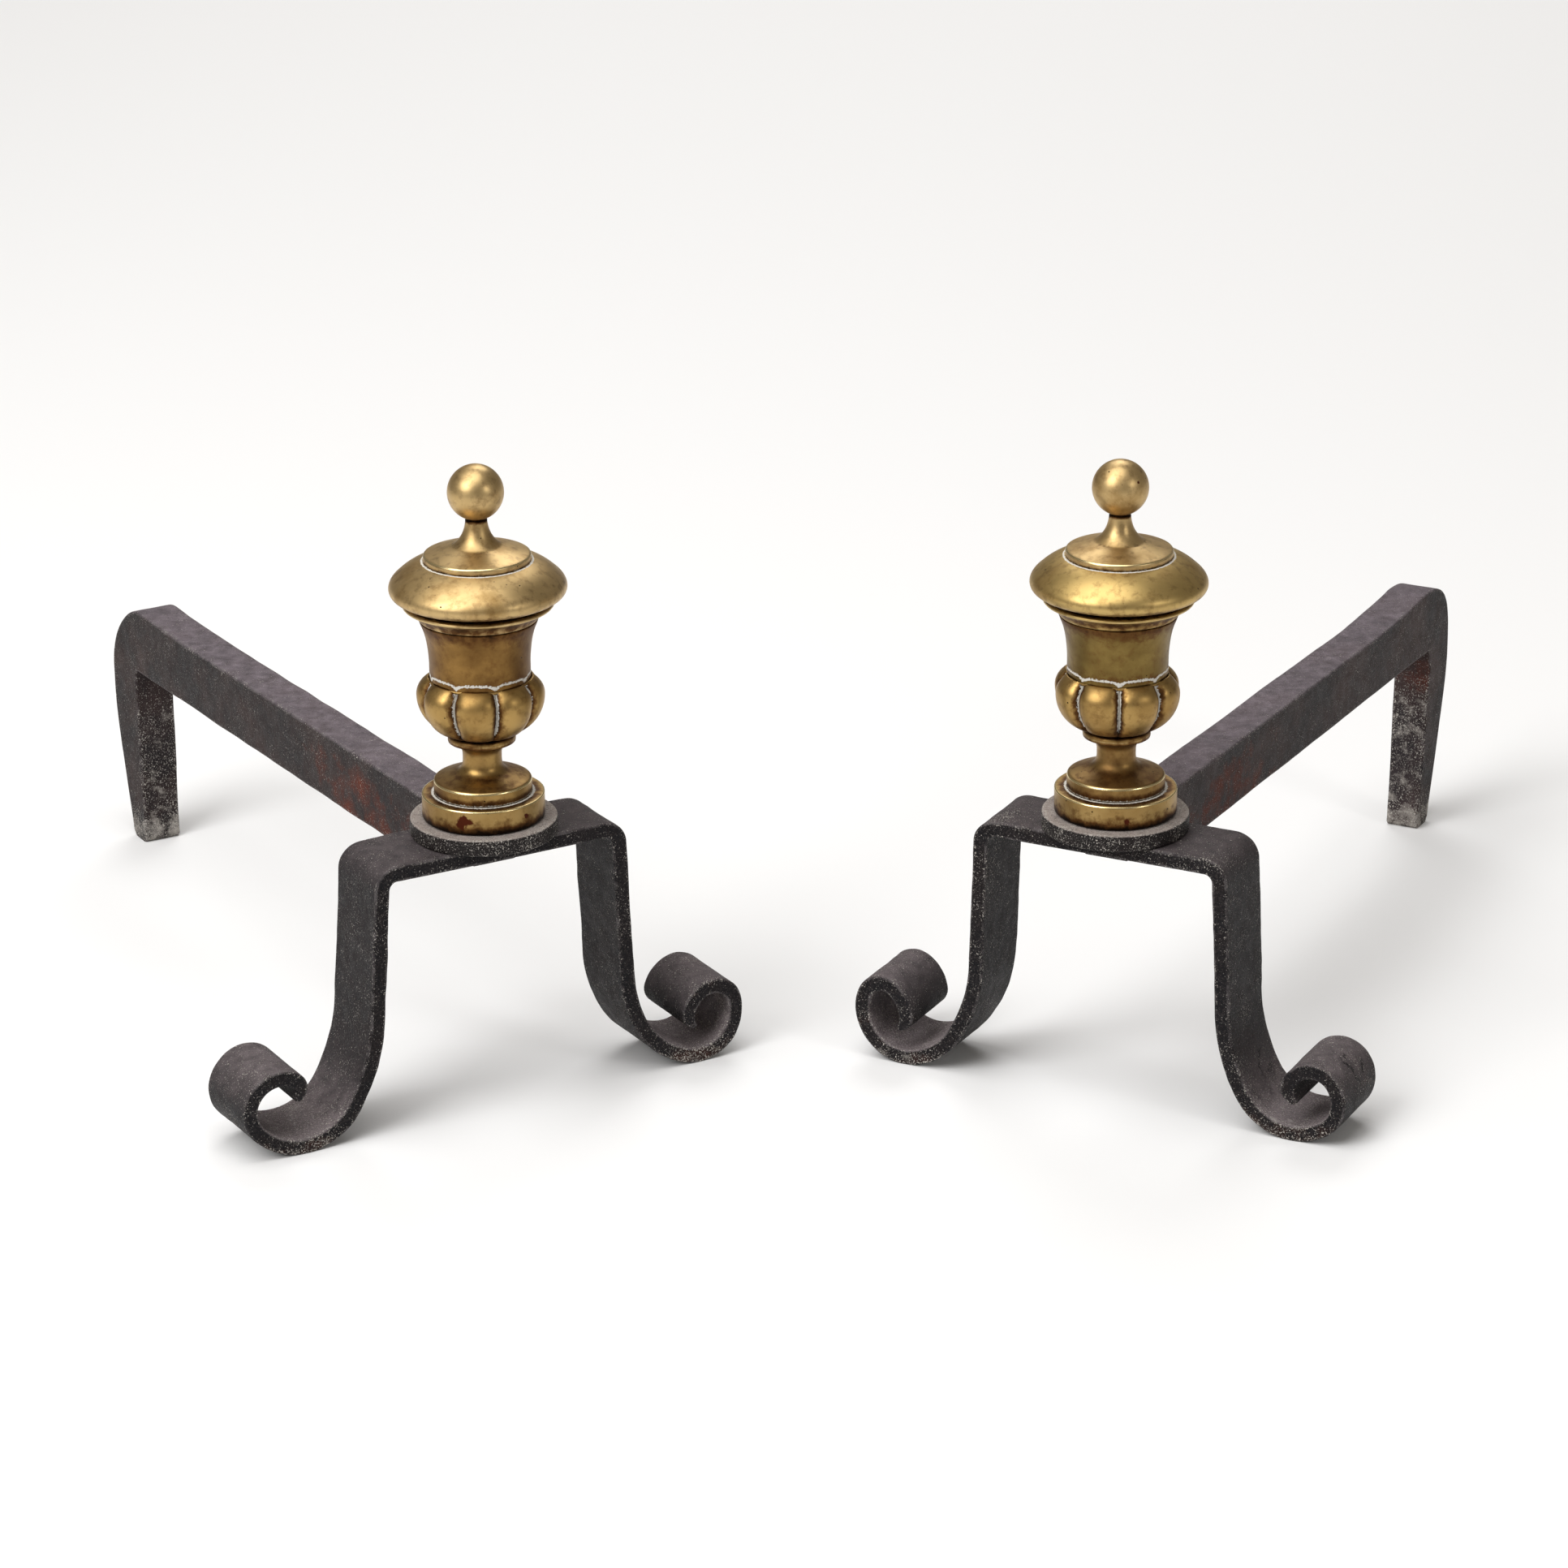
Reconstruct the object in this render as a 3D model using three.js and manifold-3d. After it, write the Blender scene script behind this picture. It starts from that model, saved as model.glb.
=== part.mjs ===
// A pair of fireplace andirons: each is a forged iron leg strap and billet bar with a turned brass urn on top.
// Lengths are in millimetres and angles in degrees. Z is up, X runs along the hearth, +Y goes back to the fire.
// An andiron is built about its own urn axis: x runs along its leg strap and y back along its billet bar.
import * as THREE from "three";
import { mergeVertices } from "three/addons/utils/BufferGeometryUtils.js";
import Module from "manifold-3d";

const wasm = await Module();
wasm.setup();

const fit = 0.3; // gap between pieces that seat on each other, and round the tie rod

// How the pair stands: the distance between the urn axes, and the angle that each bar turns outwards.
const urnSpacing = 324;
const splay = { left: 29.4, right: 27.4 };

// Leg strap: one flat bar bent down at both ends and rolled outwards into two scroll feet.
const strap = {
  width: 44.5,
  thickness: 8.8,
  top: 146.1,
  cornerRadius: 10, // outside of the bend
  edge: 1.3, // worn edges
  wear: 0.4, // depth of the flat worn under each scroll
  tipThickness: 1.8,
  tipTaper: 13, // length over which a scroll's tip is drawn thin
};

// The four hand-rolled scrolls: the distance from the urn axis to the outside of the leg at its top, the leg's
// lean, then the radius and turn of each arc of the strap's middle line.
const feet = {
  left: {
    left: { halfSpan: 72.6, lean: 3.8, arcs: [[98, 27], [33.9, 110], [16.7, 154], [9.7, 52]] },
    right: { halfSpan: 70.8, lean: 2.7, arcs: [[68.6, 27], [46, 44], [22.2, 117], [13.4, 110], [17, 56]] },
  },
  right: {
    left: { halfSpan: 70.3, lean: 1.8, arcs: [[80.5, 33], [35.1, 47], [24.1, 118], [10.7, 109], [20.6, 53]] },
    right: { halfSpan: 71.4, lean: 2.5, arcs: [[93, 26], [31.8, 94], [17.4, 95], [13.6, 145]] },
  },
};
const scrollStep = 14; // degrees of an arc between two rings of the strap's surface

// Billet bar: a deep bar whose back end is bent down into the rear leg and whose front is drawn out to a tongue.
const bar = {
  width: 25,
  edge: 1.4,
  tongueThickness: 4.7,
  tongueReach: 10.5, // how far the tongue goes past the tie rod
  throat: 38, // length behind the strap over which the tongue swells to the full depth
  throatCurve: 12,
  shoulderRise: 6, // how far the top stands above the disc's underside
  topFall: 8, // how far the top falls over its straight run
  topRun: 300,
  length: 454, // from the urn axis to the back of the rear leg
  cornerRadius: 42,
  innerRadius: 4, // inside of the bend
  calfHeight: 62, // height at which the back of the leg is upright
  heelHeight: 38,
  heelSwell: 6,
  heelEdge: 3,
  toeEdge: 2,
  footThickness: 18.5,
};

// What the hammer left different in the two bars.
const forging = {
  left: {
    crown: 0, // how far the rear corner rises again
    squareness: 0.45, // of that corner, where 1 is square
    depthFront: 38.3,
    depthBack: 38,
    legTop: 32, // thickness of the rear leg under the bar
    legLean: 3, // how far the leg's inner face leans forwards down to the foot
    footWidth: 22.5,
  },
  right: {
    crown: 2.5,
    squareness: 0.75,
    depthFront: 37.2,
    depthBack: 35.4,
    legTop: 28,
    legLean: 9.5,
    footWidth: 19.5,
  },
};

// Iron disc and brass turnings, from the strap upwards.
const disc = { radius: 38, height: 8.6, edge: 1.6 };
const base = { radius: 31.5, height: 13, edge: 0.9, undercut: 0.8, wall: 4.2 };
const pedestal = {
  height: 31.7,
  footRadius: 25.2,
  footHeight: 6.6,
  footEdge: 0.7,
  coneRadius: 15.2,
  coneRise: 3.8,
  fillet: 1.5,
  stemRadius: 10,
  stemBottom: 17.4,
  stemTop: 20.4,
  collarRadius: 17.4,
  collarHeight: 4.1,
  collarEdge: 1.2,
};
const bowl = {
  height: 32.6,
  seatRadius: 15.7,
  waistHeight: 20.8, // height of the widest place
  waistRadius: 32.8,
  lowerCentre: 13, // distance from the axis to the centre of the lower curve
  shoulder: 8, // how far inside the rim the centre of the upper curve lies
  lip: 0.7,
  wall: 3.6,
  seatDepth: 4, // how deep the bell stands in the bowl
  lobes: 8,
  grooveDepth: 4.6,
  lobeFullness: 3, // how late a lobe's side falls into its groove
  grooveFade: 5, // how fast a groove dies out towards the seat and the rim
};
const bell = {
  footRadius: 25.8,
  height: 32.7,
  neckHeight: 9.8, // how far up the bell stands upright
  flareHeight: 23.4, // where its flare sets in
  flareSwell: 0.6,
  mouthRadius: 29.9,
  lip: 1,
  lipHeight: 2.6,
  wall: 3.4,
};
const bulb = {
  height: 30.4,
  radius: 45.1,
  waistHeight: 15.2,
  noseDepth: 8.6, // how much of the radius the rounded nose takes
  noseHeight: 7.3,
  crownDrop: 2,
  seatStep: 1.6, // height of the upright edge that stands on the bell
  ledgeRadius: 37.2,
  ledgeHeight: 4.2,
  edge: 0.7,
  wall: 3.6,
};
const lid = {
  radius: 27.4,
  rim: 3.1,
  edge: 0.5,
  coneRadius: 12.7,
  coneRise: 4.4,
  neckRadius: 5.6,
  neckFlare: 0.9,
  neckFoot: 4.2, // height above the cone over which the neck spreads
  neckLand: 1,
  height: 21.3,
  spigot: 3,
  wall: 3,
};
const ball = { radius: 14.4, stub: 0.6 };
const rod = {
  radius: 4,
  grip: 7.7, // how far it screws into the ball
  tip: 1,
  headRadius: 7.2,
  headTaper: 3.2,
};

// The angle of one groove of each lobed bowl, from the front of the strap towards its right foot.
const bowlTurn = { left: -9.9, right: 26 };

const turningSegments = 24;
const rodSegments = 20;
const lobeSegments = 6;
const curveSteps = 3;
const ballSteps = 5;
const barSteps = 7;
const boreRadius = rod.radius + fit;

// Heights of the seats, each piece standing on the one below.
const strapUnderside = strap.top - strap.thickness;
const discBottom = strap.top + fit;
const baseBottom = discBottom + disc.height + fit;
const pedestalBottom = baseBottom + base.height + fit;
const bowlBottom = pedestalBottom + pedestal.height + fit;
const bellBottom = bowlBottom + bowl.height - bowl.seatDepth + fit;
const bulbBottom = bellBottom + bell.height + fit;
const lidBottom = bulbBottom + bulb.height + fit;
const ballBottom = lidBottom + lid.height + fit;
const tongueBottom = strapUnderside - fit - bar.tongueThickness;

const radians = THREE.MathUtils.degToRad;

function toSolid(geometry) {
  const bare = geometry.clone();
  bare.deleteAttribute("normal");
  bare.deleteAttribute("uv");
  const merged = mergeVertices(bare, 1e-4);
  return new wasm.Manifold(
    new wasm.Mesh({
      numProp: 3,
      vertProperties: merged.attributes.position.array,
      triVerts: new Uint32Array(merged.index.array),
    }),
  );
}

function toGeometry(solid) {
  const mesh = solid.getMesh();
  const geometry = new THREE.BufferGeometry();
  geometry.setAttribute("position", new THREE.BufferAttribute(mesh.vertProperties, mesh.numProp));
  geometry.setIndex(new THREE.BufferAttribute(mesh.triVerts, 1));
  geometry.computeVertexNormals();
  return geometry;
}

// A solid of revolution about Z from a profile of radius and height.
function turn(points, segments = turningSegments) {
  return new THREE.LatheGeometry(points, segments).rotateX(Math.PI / 2);
}

// Turns a profile path that closes on itself, for a ring or a bored piece.
function turnPath(path) {
  const points = path.getPoints(curveSteps);
  points.push(points[0].clone());
  return turn(points);
}

// Walks a flat line of [length, turn] moves from its start, and lists its points with their headings.
function trace(start, moves) {
  const stations = [{ ...start, distance: 0 }];
  for (const [length, angle] of moves) {
    const steps = Math.max(1, Math.ceil(Math.abs(angle) / scrollStep));
    const stride = length / steps;
    const bend = radians(angle / steps);
    const chord = bend ? (stride * Math.sin(bend / 2)) / (bend / 2) : stride;
    for (let i = 0; i < steps; i++) {
      const last = stations.at(-1);
      stations.push({
        x: last.x + chord * Math.cos(last.heading + bend / 2),
        z: last.z + chord * Math.sin(last.heading + bend / 2),
        heading: last.heading + bend,
        distance: last.distance + stride,
      });
    }
  }
  return stations;
}

// The strap's middle line from the urn axis out to the tip of one scroll.
function footLine({ halfSpan, lean, arcs }) {
  const half = strap.thickness / 2;
  const bend = 90 - lean;
  const bendRadius = strap.cornerRadius - half;
  const cornerAt = halfSpan - half + half * Math.tan(radians(lean));
  const topRun = cornerAt - bendRadius * Math.tan(radians(bend / 2));
  const corner = [bendRadius * radians(bend), -bend];
  const scroll = arcs.map(([radius, angle]) => [radius * radians(angle), angle]);
  const start = { x: 0, z: strap.top - half, heading: 0 };
  const withoutLeg = trace(start, [[topRun, 0], corner, ...scroll]);
  const lowest = Math.min(...withoutLeg.map((station) => station.z));
  const legLength = (lowest - half + strap.wear) / Math.cos(radians(lean));
  return trace(start, [[topRun, 0], corner, [legLength, 0], ...scroll]);
}

// The section across the strap at one station: a flat bar with worn edges, thinner towards the scroll's tip.
function strapSection({ x, z, heading, left }) {
  const thinning = Math.min(1, left / strap.tipTaper);
  const thickness = THREE.MathUtils.lerp(strap.tipThickness, strap.thickness, thinning);
  const half = thickness / 2;
  const edge = Math.min(strap.edge, thickness / 3);
  const side = strap.width / 2;
  const corners = [
    [half, -side + edge],
    [half, side - edge],
    [half - edge, side],
    [-half + edge, side],
    [-half, side - edge],
    [-half, -side + edge],
    [-half + edge, -side],
    [half - edge, -side],
  ];
  return corners.map(([out, across]) => [x - out * Math.sin(heading), across, z + out * Math.cos(heading)]);
}

// A closed skin over a row of sections that all have the same number of points.
function skin(sections) {
  const count = sections[0].length;
  const faces = [];
  for (let i = 0; i + 1 < sections.length; i++) {
    for (let j = 0; j < count; j++) {
      const a = i * count + j;
      const b = i * count + ((j + 1) % count);
      faces.push(a, a + count, b, b, a + count, b + count);
    }
  }
  const last = (sections.length - 1) * count;
  for (let j = 1; j + 1 < count; j++) {
    faces.push(0, j, j + 1);
    faces.push(last, last + j + 1, last + j);
  }
  const geometry = new THREE.BufferGeometry();
  geometry.setAttribute("position", new THREE.Float32BufferAttribute(sections.flat(2), 3));
  geometry.setIndex(faces);
  return geometry;
}

function rodHole(bottom, top) {
  const hole = new THREE.CylinderGeometry(boreRadius, boreRadius, top - bottom, turningSegments);
  hole.rotateX(Math.PI / 2).translate(0, 0, (top + bottom) / 2);
  return toSolid(hole);
}

function legStrap(side) {
  const halves = ["left", "right"].map((foot) => {
    const line = footLine(feet[side][foot]);
    const end = line.at(-1).distance;
    return line.map((station) => ({ ...station, left: end - station.distance }));
  });
  const mirrored = halves[0].slice(1).map(({ x, heading, ...rest }) => ({ ...rest, x: -x, heading: -heading }));
  const sections = [...mirrored.reverse(), ...halves[1]].map(strapSection);
  const flat = skin(sections);
  flat.computeBoundingBox();
  const extent = flat.boundingBox.getSize(new THREE.Vector3()).addScalar(2 * fit);
  const middle = flat.boundingBox.getCenter(new THREE.Vector3());
  const belowFloor = new THREE.BoxGeometry(extent.x, extent.y, extent.z);
  belowFloor.translate(middle.x, middle.y, -extent.z / 2);
  const bored = toSolid(flat).subtract(rodHole(strapUnderside - fit, discBottom));
  return toGeometry(bored.subtract(toSolid(belowFloor)));
}

// The bar's outline seen from the side, in y and z.
function barOutline({ crown, squareness, depthFront, depthBack, legTop, legLean }) {
  const { length, cornerRadius, innerRadius, throatCurve, toeEdge, heelEdge } = bar;
  const tongueTop = strapUnderside - fit;
  const tongueEnd = -bar.tongueReach;
  const front = strap.width / 2 + fit;
  const swollen = front + bar.throat;
  const shelf = discBottom - fit;
  const stepAt = disc.radius + 4 * fit;
  const topFront = shelf + bar.shoulderRise;
  const topBack = topFront - bar.topFall;
  const crest = topBack + crown;
  const crestAt = length - cornerRadius;
  const undersideFront = topFront - depthFront;
  const undersideBack = topBack - depthBack;
  const legStart = undersideBack - innerRadius;
  const legInner = length - legTop;
  const footInner = legInner - legLean;
  const footOuter = footInner + bar.footThickness;
  const { lerp } = THREE.MathUtils;
  const outline = new THREE.Shape();
  outline.moveTo(tongueEnd, tongueBottom);
  outline.lineTo(front - 2 * fit, tongueBottom);
  outline.bezierCurveTo(
    front + throatCurve,
    tongueBottom,
    front + throatCurve,
    undersideFront,
    swollen,
    undersideFront,
  );
  outline.lineTo(legInner - innerRadius, undersideBack);
  outline.quadraticCurveTo(legInner, undersideBack, legInner, legStart);
  outline.quadraticCurveTo(legInner - legLean / 4, undersideBack / 2, footInner, toeEdge);
  outline.lineTo(footInner + toeEdge, 0);
  outline.lineTo(footOuter - heelEdge, 0);
  outline.lineTo(footOuter, heelEdge);
  outline.bezierCurveTo(footOuter + bar.heelSwell, bar.heelHeight, length, bar.calfHeight, length, legStart);
  outline.bezierCurveTo(
    length,
    lerp(legStart, crest, squareness),
    lerp(crestAt, length, squareness),
    crest,
    crestAt,
    crest,
  );
  outline.quadraticCurveTo(crestAt - cornerRadius / 2, topBack, stepAt + bar.topRun, topBack);
  outline.lineTo(stepAt, topFront);
  outline.lineTo(stepAt, shelf);
  outline.lineTo(front, shelf);
  outline.lineTo(front, tongueTop);
  outline.lineTo(tongueEnd, tongueTop);
  outline.closePath();
  return outline;
}

function billetBar(side) {
  const geometry = new THREE.ExtrudeGeometry(barOutline(forging[side]), {
    depth: bar.width - 2 * bar.edge,
    bevelThickness: bar.edge,
    bevelSize: bar.edge,
    bevelOffset: -bar.edge,
    bevelSegments: 1,
    curveSegments: barSteps,
  });
  geometry.translate(0, 0, bar.edge - bar.width / 2);
  const toSide = new THREE.Matrix4().makeBasis(
    new THREE.Vector3(0, 1, 0),
    new THREE.Vector3(0, 0, 1),
    new THREE.Vector3(1, 0, 0),
  );
  geometry.applyMatrix4(toSide);
  const points = geometry.attributes.position;
  for (let i = 0; i < points.count; i++) {
    const share = Math.min(1, points.getZ(i) / strap.top);
    const width = THREE.MathUtils.lerp(forging[side].footWidth, bar.width, share);
    points.setX(i, (points.getX(i) * width) / bar.width);
  }
  const countersink = turn([
    new THREE.Vector2(0, tongueBottom - fit),
    new THREE.Vector2(rod.headRadius + fit, tongueBottom - fit),
    new THREE.Vector2(rod.headRadius + fit, tongueBottom + fit),
    new THREE.Vector2(boreRadius, tongueBottom + rod.headTaper + fit),
    new THREE.Vector2(0, tongueBottom + rod.headTaper + fit),
  ]);
  const bored = toSolid(geometry).subtract(rodHole(tongueBottom - fit, strapUnderside));
  return toGeometry(bored.subtract(toSolid(countersink)));
}

function tieRod() {
  const top = ballBottom + rod.grip;
  return turn(
    [
      [0, tongueBottom + fit],
      [rod.headRadius, tongueBottom + fit],
      [rod.radius, tongueBottom + rod.headTaper + fit],
      [rod.radius, top - rod.tip],
      [rod.radius - rod.tip, top],
      [0, top],
    ].map(([radius, height]) => new THREE.Vector2(radius, height)),
    rodSegments,
  );
}

function ironDisc() {
  const path = new THREE.Path();
  path.moveTo(boreRadius, 0);
  path.lineTo(disc.radius - disc.edge, 0);
  path.lineTo(disc.radius, disc.edge);
  path.lineTo(disc.radius, disc.height - disc.edge);
  path.lineTo(disc.radius - disc.edge, disc.height);
  path.lineTo(boreRadius, disc.height);
  return turnPath(path);
}

// A plain brass ring, hollow underneath, that lifts the urn off the disc.
function baseRing() {
  const ceiling = base.height - base.wall;
  const path = new THREE.Path();
  path.moveTo(base.radius - base.wall, 0);
  path.lineTo(base.radius - base.undercut, 0);
  path.lineTo(base.radius, base.undercut);
  path.lineTo(base.radius, base.height - base.edge);
  path.lineTo(base.radius - base.edge, base.height);
  path.lineTo(boreRadius, base.height);
  path.lineTo(boreRadius, ceiling);
  path.lineTo(base.radius - base.wall, ceiling);
  return turnPath(path);
}

// The spreading foot, the stem and the collar that carries the bowl.
function urnPedestal() {
  const { height, footRadius, footHeight, footEdge, coneRadius, coneRise, fillet } = pedestal;
  const { stemRadius, stemBottom, stemTop, collarRadius, collarHeight, collarEdge } = pedestal;
  const coneTop = footHeight + coneRise;
  const collarBottom = height - collarHeight;
  const path = new THREE.Path();
  path.moveTo(boreRadius, 0);
  path.lineTo(footRadius, 0);
  path.lineTo(footRadius, footHeight);
  path.lineTo(footRadius - footEdge, footHeight + footEdge);
  path.lineTo(coneRadius, coneTop);
  path.quadraticCurveTo(stemRadius, coneTop + fillet, stemRadius, stemBottom);
  path.lineTo(stemRadius, stemTop);
  path.quadraticCurveTo(stemRadius, collarBottom - fillet, collarRadius, collarBottom);
  path.lineTo(collarRadius, height - collarEdge);
  path.lineTo(bowl.seatRadius, height);
  path.lineTo(boreRadius, height);
  return turnPath(path);
}

// The lobed bowl: a turned cup whose outside is pressed in along grooves between pillow-like lobes.
function lobedBowl(side) {
  const { height, seatRadius, waistHeight, waistRadius, lowerCentre, lip, wall, grooveDepth, lobes } = bowl;
  const rimRadius = bell.footRadius + fit;
  const upperCentre = rimRadius - bowl.shoulder;
  const outside = new THREE.Path();
  const lowerReach = waistRadius - lowerCentre;
  const startAngle = -Math.acos((seatRadius - lowerCentre) / lowerReach);
  outside.absellipse(lowerCentre, waistHeight, lowerReach, waistHeight, startAngle, 0);
  const upperReach = waistRadius - upperCentre;
  const endAngle = Math.acos((rimRadius + lip - upperCentre) / upperReach);
  outside.absellipse(upperCentre, waistHeight, upperReach, height - waistHeight, 0, endAngle);
  const skinPoints = outside.getPoints(curveSteps);
  const seat = height - bowl.seatDepth;
  const inside = [
    [rimRadius, height - lip],
    [rimRadius, seat],
    [rimRadius - wall - lip, seat],
    [waistRadius - grooveDepth - 2 * wall, waistHeight / 2],
    [seatRadius - wall, wall],
    [boreRadius, wall],
    [boreRadius, 0],
    [seatRadius, 0],
  ].map(([radius, level]) => new THREE.Vector2(radius, level));
  const profile = [inside.at(-1).clone(), ...skinPoints, ...inside];
  const geometry = turn(profile, lobes * lobeSegments);
  const points = geometry.attributes.position;
  for (let i = 0; i < points.count; i++) {
    if (i % profile.length > skinPoints.length) continue;
    const x = points.getX(i);
    const y = points.getY(i);
    const around = ((THREE.MathUtils.radToDeg(Math.atan2(x, -y)) - bowlTurn[side]) * lobes) / 360;
    const across = 2 * Math.abs(around - Math.round(around)) - 1;
    const level = points.getZ(i) / height;
    const fade = Math.min(1, bowl.grooveFade * level * (1 - level));
    const groove = grooveDepth * Math.abs(across) ** bowl.lobeFullness * fade;
    const scale = 1 - groove / Math.hypot(x, y);
    points.setXY(i, x * scale, y * scale);
  }
  return geometry;
}

// The flared body of the urn, open at both ends.
function urnBell() {
  const { footRadius, height, neckHeight, flareHeight, flareSwell, mouthRadius, lip, wall } = bell;
  const rimBottom = height - bell.lipHeight;
  const inner = footRadius - wall;
  const path = new THREE.Path();
  path.moveTo(inner, 0);
  path.lineTo(footRadius, 0);
  path.lineTo(footRadius, neckHeight);
  path.quadraticCurveTo(footRadius + flareSwell, flareHeight, mouthRadius, rimBottom);
  path.lineTo(mouthRadius + lip, rimBottom + lip);
  path.lineTo(mouthRadius + lip, height);
  path.lineTo(mouthRadius - wall, height);
  path.quadraticCurveTo(inner + flareSwell, flareHeight, inner, neckHeight);
  return turnPath(path);
}

// The swelling rim of the urn: a hollow ring that stands on the bell and carries the lid.
function rimBulb() {
  const { height, radius, waistHeight, noseDepth, noseHeight, crownDrop, seatStep, edge, wall } = bulb;
  const { ledgeRadius, ledgeHeight } = bulb;
  const seat = bell.mouthRadius + bell.lip;
  const foot = seat - bell.lip;
  const noseAt = radius - noseDepth / 2;
  const mouth = lid.radius - lid.wall - fit;
  const inner = radius - wall;
  const path = new THREE.Path();
  path.moveTo(seat - wall, 0);
  path.lineTo(foot, 0);
  path.lineTo(foot, seatStep);
  path.lineTo(ledgeRadius, ledgeHeight - edge);
  path.lineTo(ledgeRadius, ledgeHeight);
  path.quadraticCurveTo(noseAt, waistHeight - noseDepth, radius - edge, waistHeight - crownDrop);
  path.quadraticCurveTo(radius + edge, waistHeight + edge, noseAt + edge, waistHeight + noseHeight - crownDrop);
  path.quadraticCurveTo(radius - noseDepth, height - crownDrop, lid.radius + edge, height);
  path.lineTo(mouth, height);
  path.lineTo(mouth, height - wall);
  path.quadraticCurveTo(inner - crownDrop, height - wall - crownDrop, inner - edge, waistHeight);
  path.quadraticCurveTo(inner - crownDrop, ledgeHeight + wall, seat - wall, ledgeHeight + wall);
  return turnPath(path);
}

// The lid with its low cone and slender neck; a spigot under it centres it in the rim.
function urnLid() {
  const { radius, rim, edge, coneRadius, coneRise, height, spigot, wall } = lid;
  const { neckRadius, neckFlare, neckFoot, neckLand } = lid;
  const coneTop = rim + coneRise;
  const spigotRadius = radius - wall - 2 * fit;
  const inner = spigotRadius - wall;
  const path = new THREE.Path();
  path.moveTo(radius, 0);
  path.lineTo(radius, rim - edge);
  path.lineTo(radius - edge, rim);
  path.lineTo(coneRadius, coneTop);
  path.quadraticCurveTo(neckRadius + neckFlare, coneTop + neckFoot, neckRadius, height - neckLand);
  path.lineTo(neckRadius, height);
  path.lineTo(boreRadius, height);
  path.lineTo(boreRadius, coneTop - wall);
  path.lineTo(inner, rim - wall);
  path.lineTo(inner, -spigot);
  path.lineTo(spigotRadius, -spigot);
  path.lineTo(spigotRadius, 0);
  return turnPath(path);
}

// The ball that screws down on the tie rod and holds the whole urn together.
function ballFinial() {
  const stubRadius = lid.neckRadius;
  const centre = ball.stub + Math.sqrt(ball.radius ** 2 - stubRadius ** 2);
  const startAngle = -Math.asin((centre - ball.stub) / ball.radius);
  const path = new THREE.Path();
  path.moveTo(0, rod.grip + fit);
  path.lineTo(boreRadius, rod.grip + fit);
  path.lineTo(boreRadius, 0);
  path.lineTo(stubRadius, 0);
  path.absarc(0, centre, ball.radius, startAngle, Math.PI / 2);
  const points = path.getPoints(ballSteps);
  points.at(-1).x = 0;
  return turn(points);
}

const brass = (color, roughness) => new THREE.MeshStandardMaterial({ color, roughness, metalness: 1 });
const iron = (color, roughness) => new THREE.MeshStandardMaterial({ color, roughness, metalness: 0.6 });

function makeAndiron(side) {
  const andiron = new THREE.Group();
  const add = (name, geometry, material, height = 0) => {
    const mesh = new THREE.Mesh(geometry, material);
    mesh.name = `${side}_${name}`;
    mesh.position.z = height;
    andiron.add(mesh);
  };
  add("leg_strap", legStrap(side), iron("#2b2829", 0.62));
  add("billet_bar", billetBar(side), iron("#3d3230", 0.68));
  add("tie_rod", tieRod(), iron("#3a3836", 0.5));
  add("collar_disc", ironDisc(), iron("#4a4342", 0.6), discBottom);
  add("base_ring", baseRing(), brass("#937338", 0.36), baseBottom);
  add("pedestal", urnPedestal(), brass("#9c7b3d", 0.34), pedestalBottom);
  add("lobed_bowl", lobedBowl(side), brass("#a98442", 0.33), bowlBottom);
  add("bell", urnBell(), brass("#8f6d36", 0.38), bellBottom);
  add("rim_bulb", rimBulb(), brass("#b08c4c", 0.34), bulbBottom);
  add("lid", urnLid(), brass("#a68448", 0.35), lidBottom);
  add("ball_finial", ballFinial(), brass("#b8954f", 0.28), ballBottom);
  return andiron;
}

const pair = new THREE.Group();
for (const [side, direction] of [["left", -1], ["right", 1]]) {
  const andiron = makeAndiron(side);
  andiron.position.x = (direction * urnSpacing) / 2;
  andiron.rotation.z = radians(-direction * splay[side]);
  pair.add(andiron);
}

// The origin lies on the floor under the middle of the pair.
const middle = new THREE.Box3().setFromObject(pair, true).getCenter(new THREE.Vector3());
pair.position.set(-middle.x, -middle.y, 0);

const andirons = new THREE.Group();
andirons.add(pair);

export default andirons;
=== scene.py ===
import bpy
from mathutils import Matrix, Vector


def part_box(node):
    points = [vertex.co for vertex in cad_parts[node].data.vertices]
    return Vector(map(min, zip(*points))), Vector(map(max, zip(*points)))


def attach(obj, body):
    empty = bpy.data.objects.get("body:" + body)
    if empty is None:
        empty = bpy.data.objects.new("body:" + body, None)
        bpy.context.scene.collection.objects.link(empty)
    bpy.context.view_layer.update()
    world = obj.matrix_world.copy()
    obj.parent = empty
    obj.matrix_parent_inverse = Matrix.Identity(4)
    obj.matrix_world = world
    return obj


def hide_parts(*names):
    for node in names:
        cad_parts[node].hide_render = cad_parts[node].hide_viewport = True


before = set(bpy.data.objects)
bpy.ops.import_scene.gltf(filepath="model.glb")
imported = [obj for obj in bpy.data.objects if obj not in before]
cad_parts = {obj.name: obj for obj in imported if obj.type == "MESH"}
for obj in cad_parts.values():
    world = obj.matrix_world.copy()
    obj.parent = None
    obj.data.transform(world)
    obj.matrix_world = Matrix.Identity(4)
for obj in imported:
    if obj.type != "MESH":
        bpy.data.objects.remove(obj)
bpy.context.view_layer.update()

# A pair of fireplace andirons: forged iron leg straps and billet bars, each with a turned brass urn.
import math
import bpy
import numpy as np
from mathutils import Matrix, Vector

mm = 0.001

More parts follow.
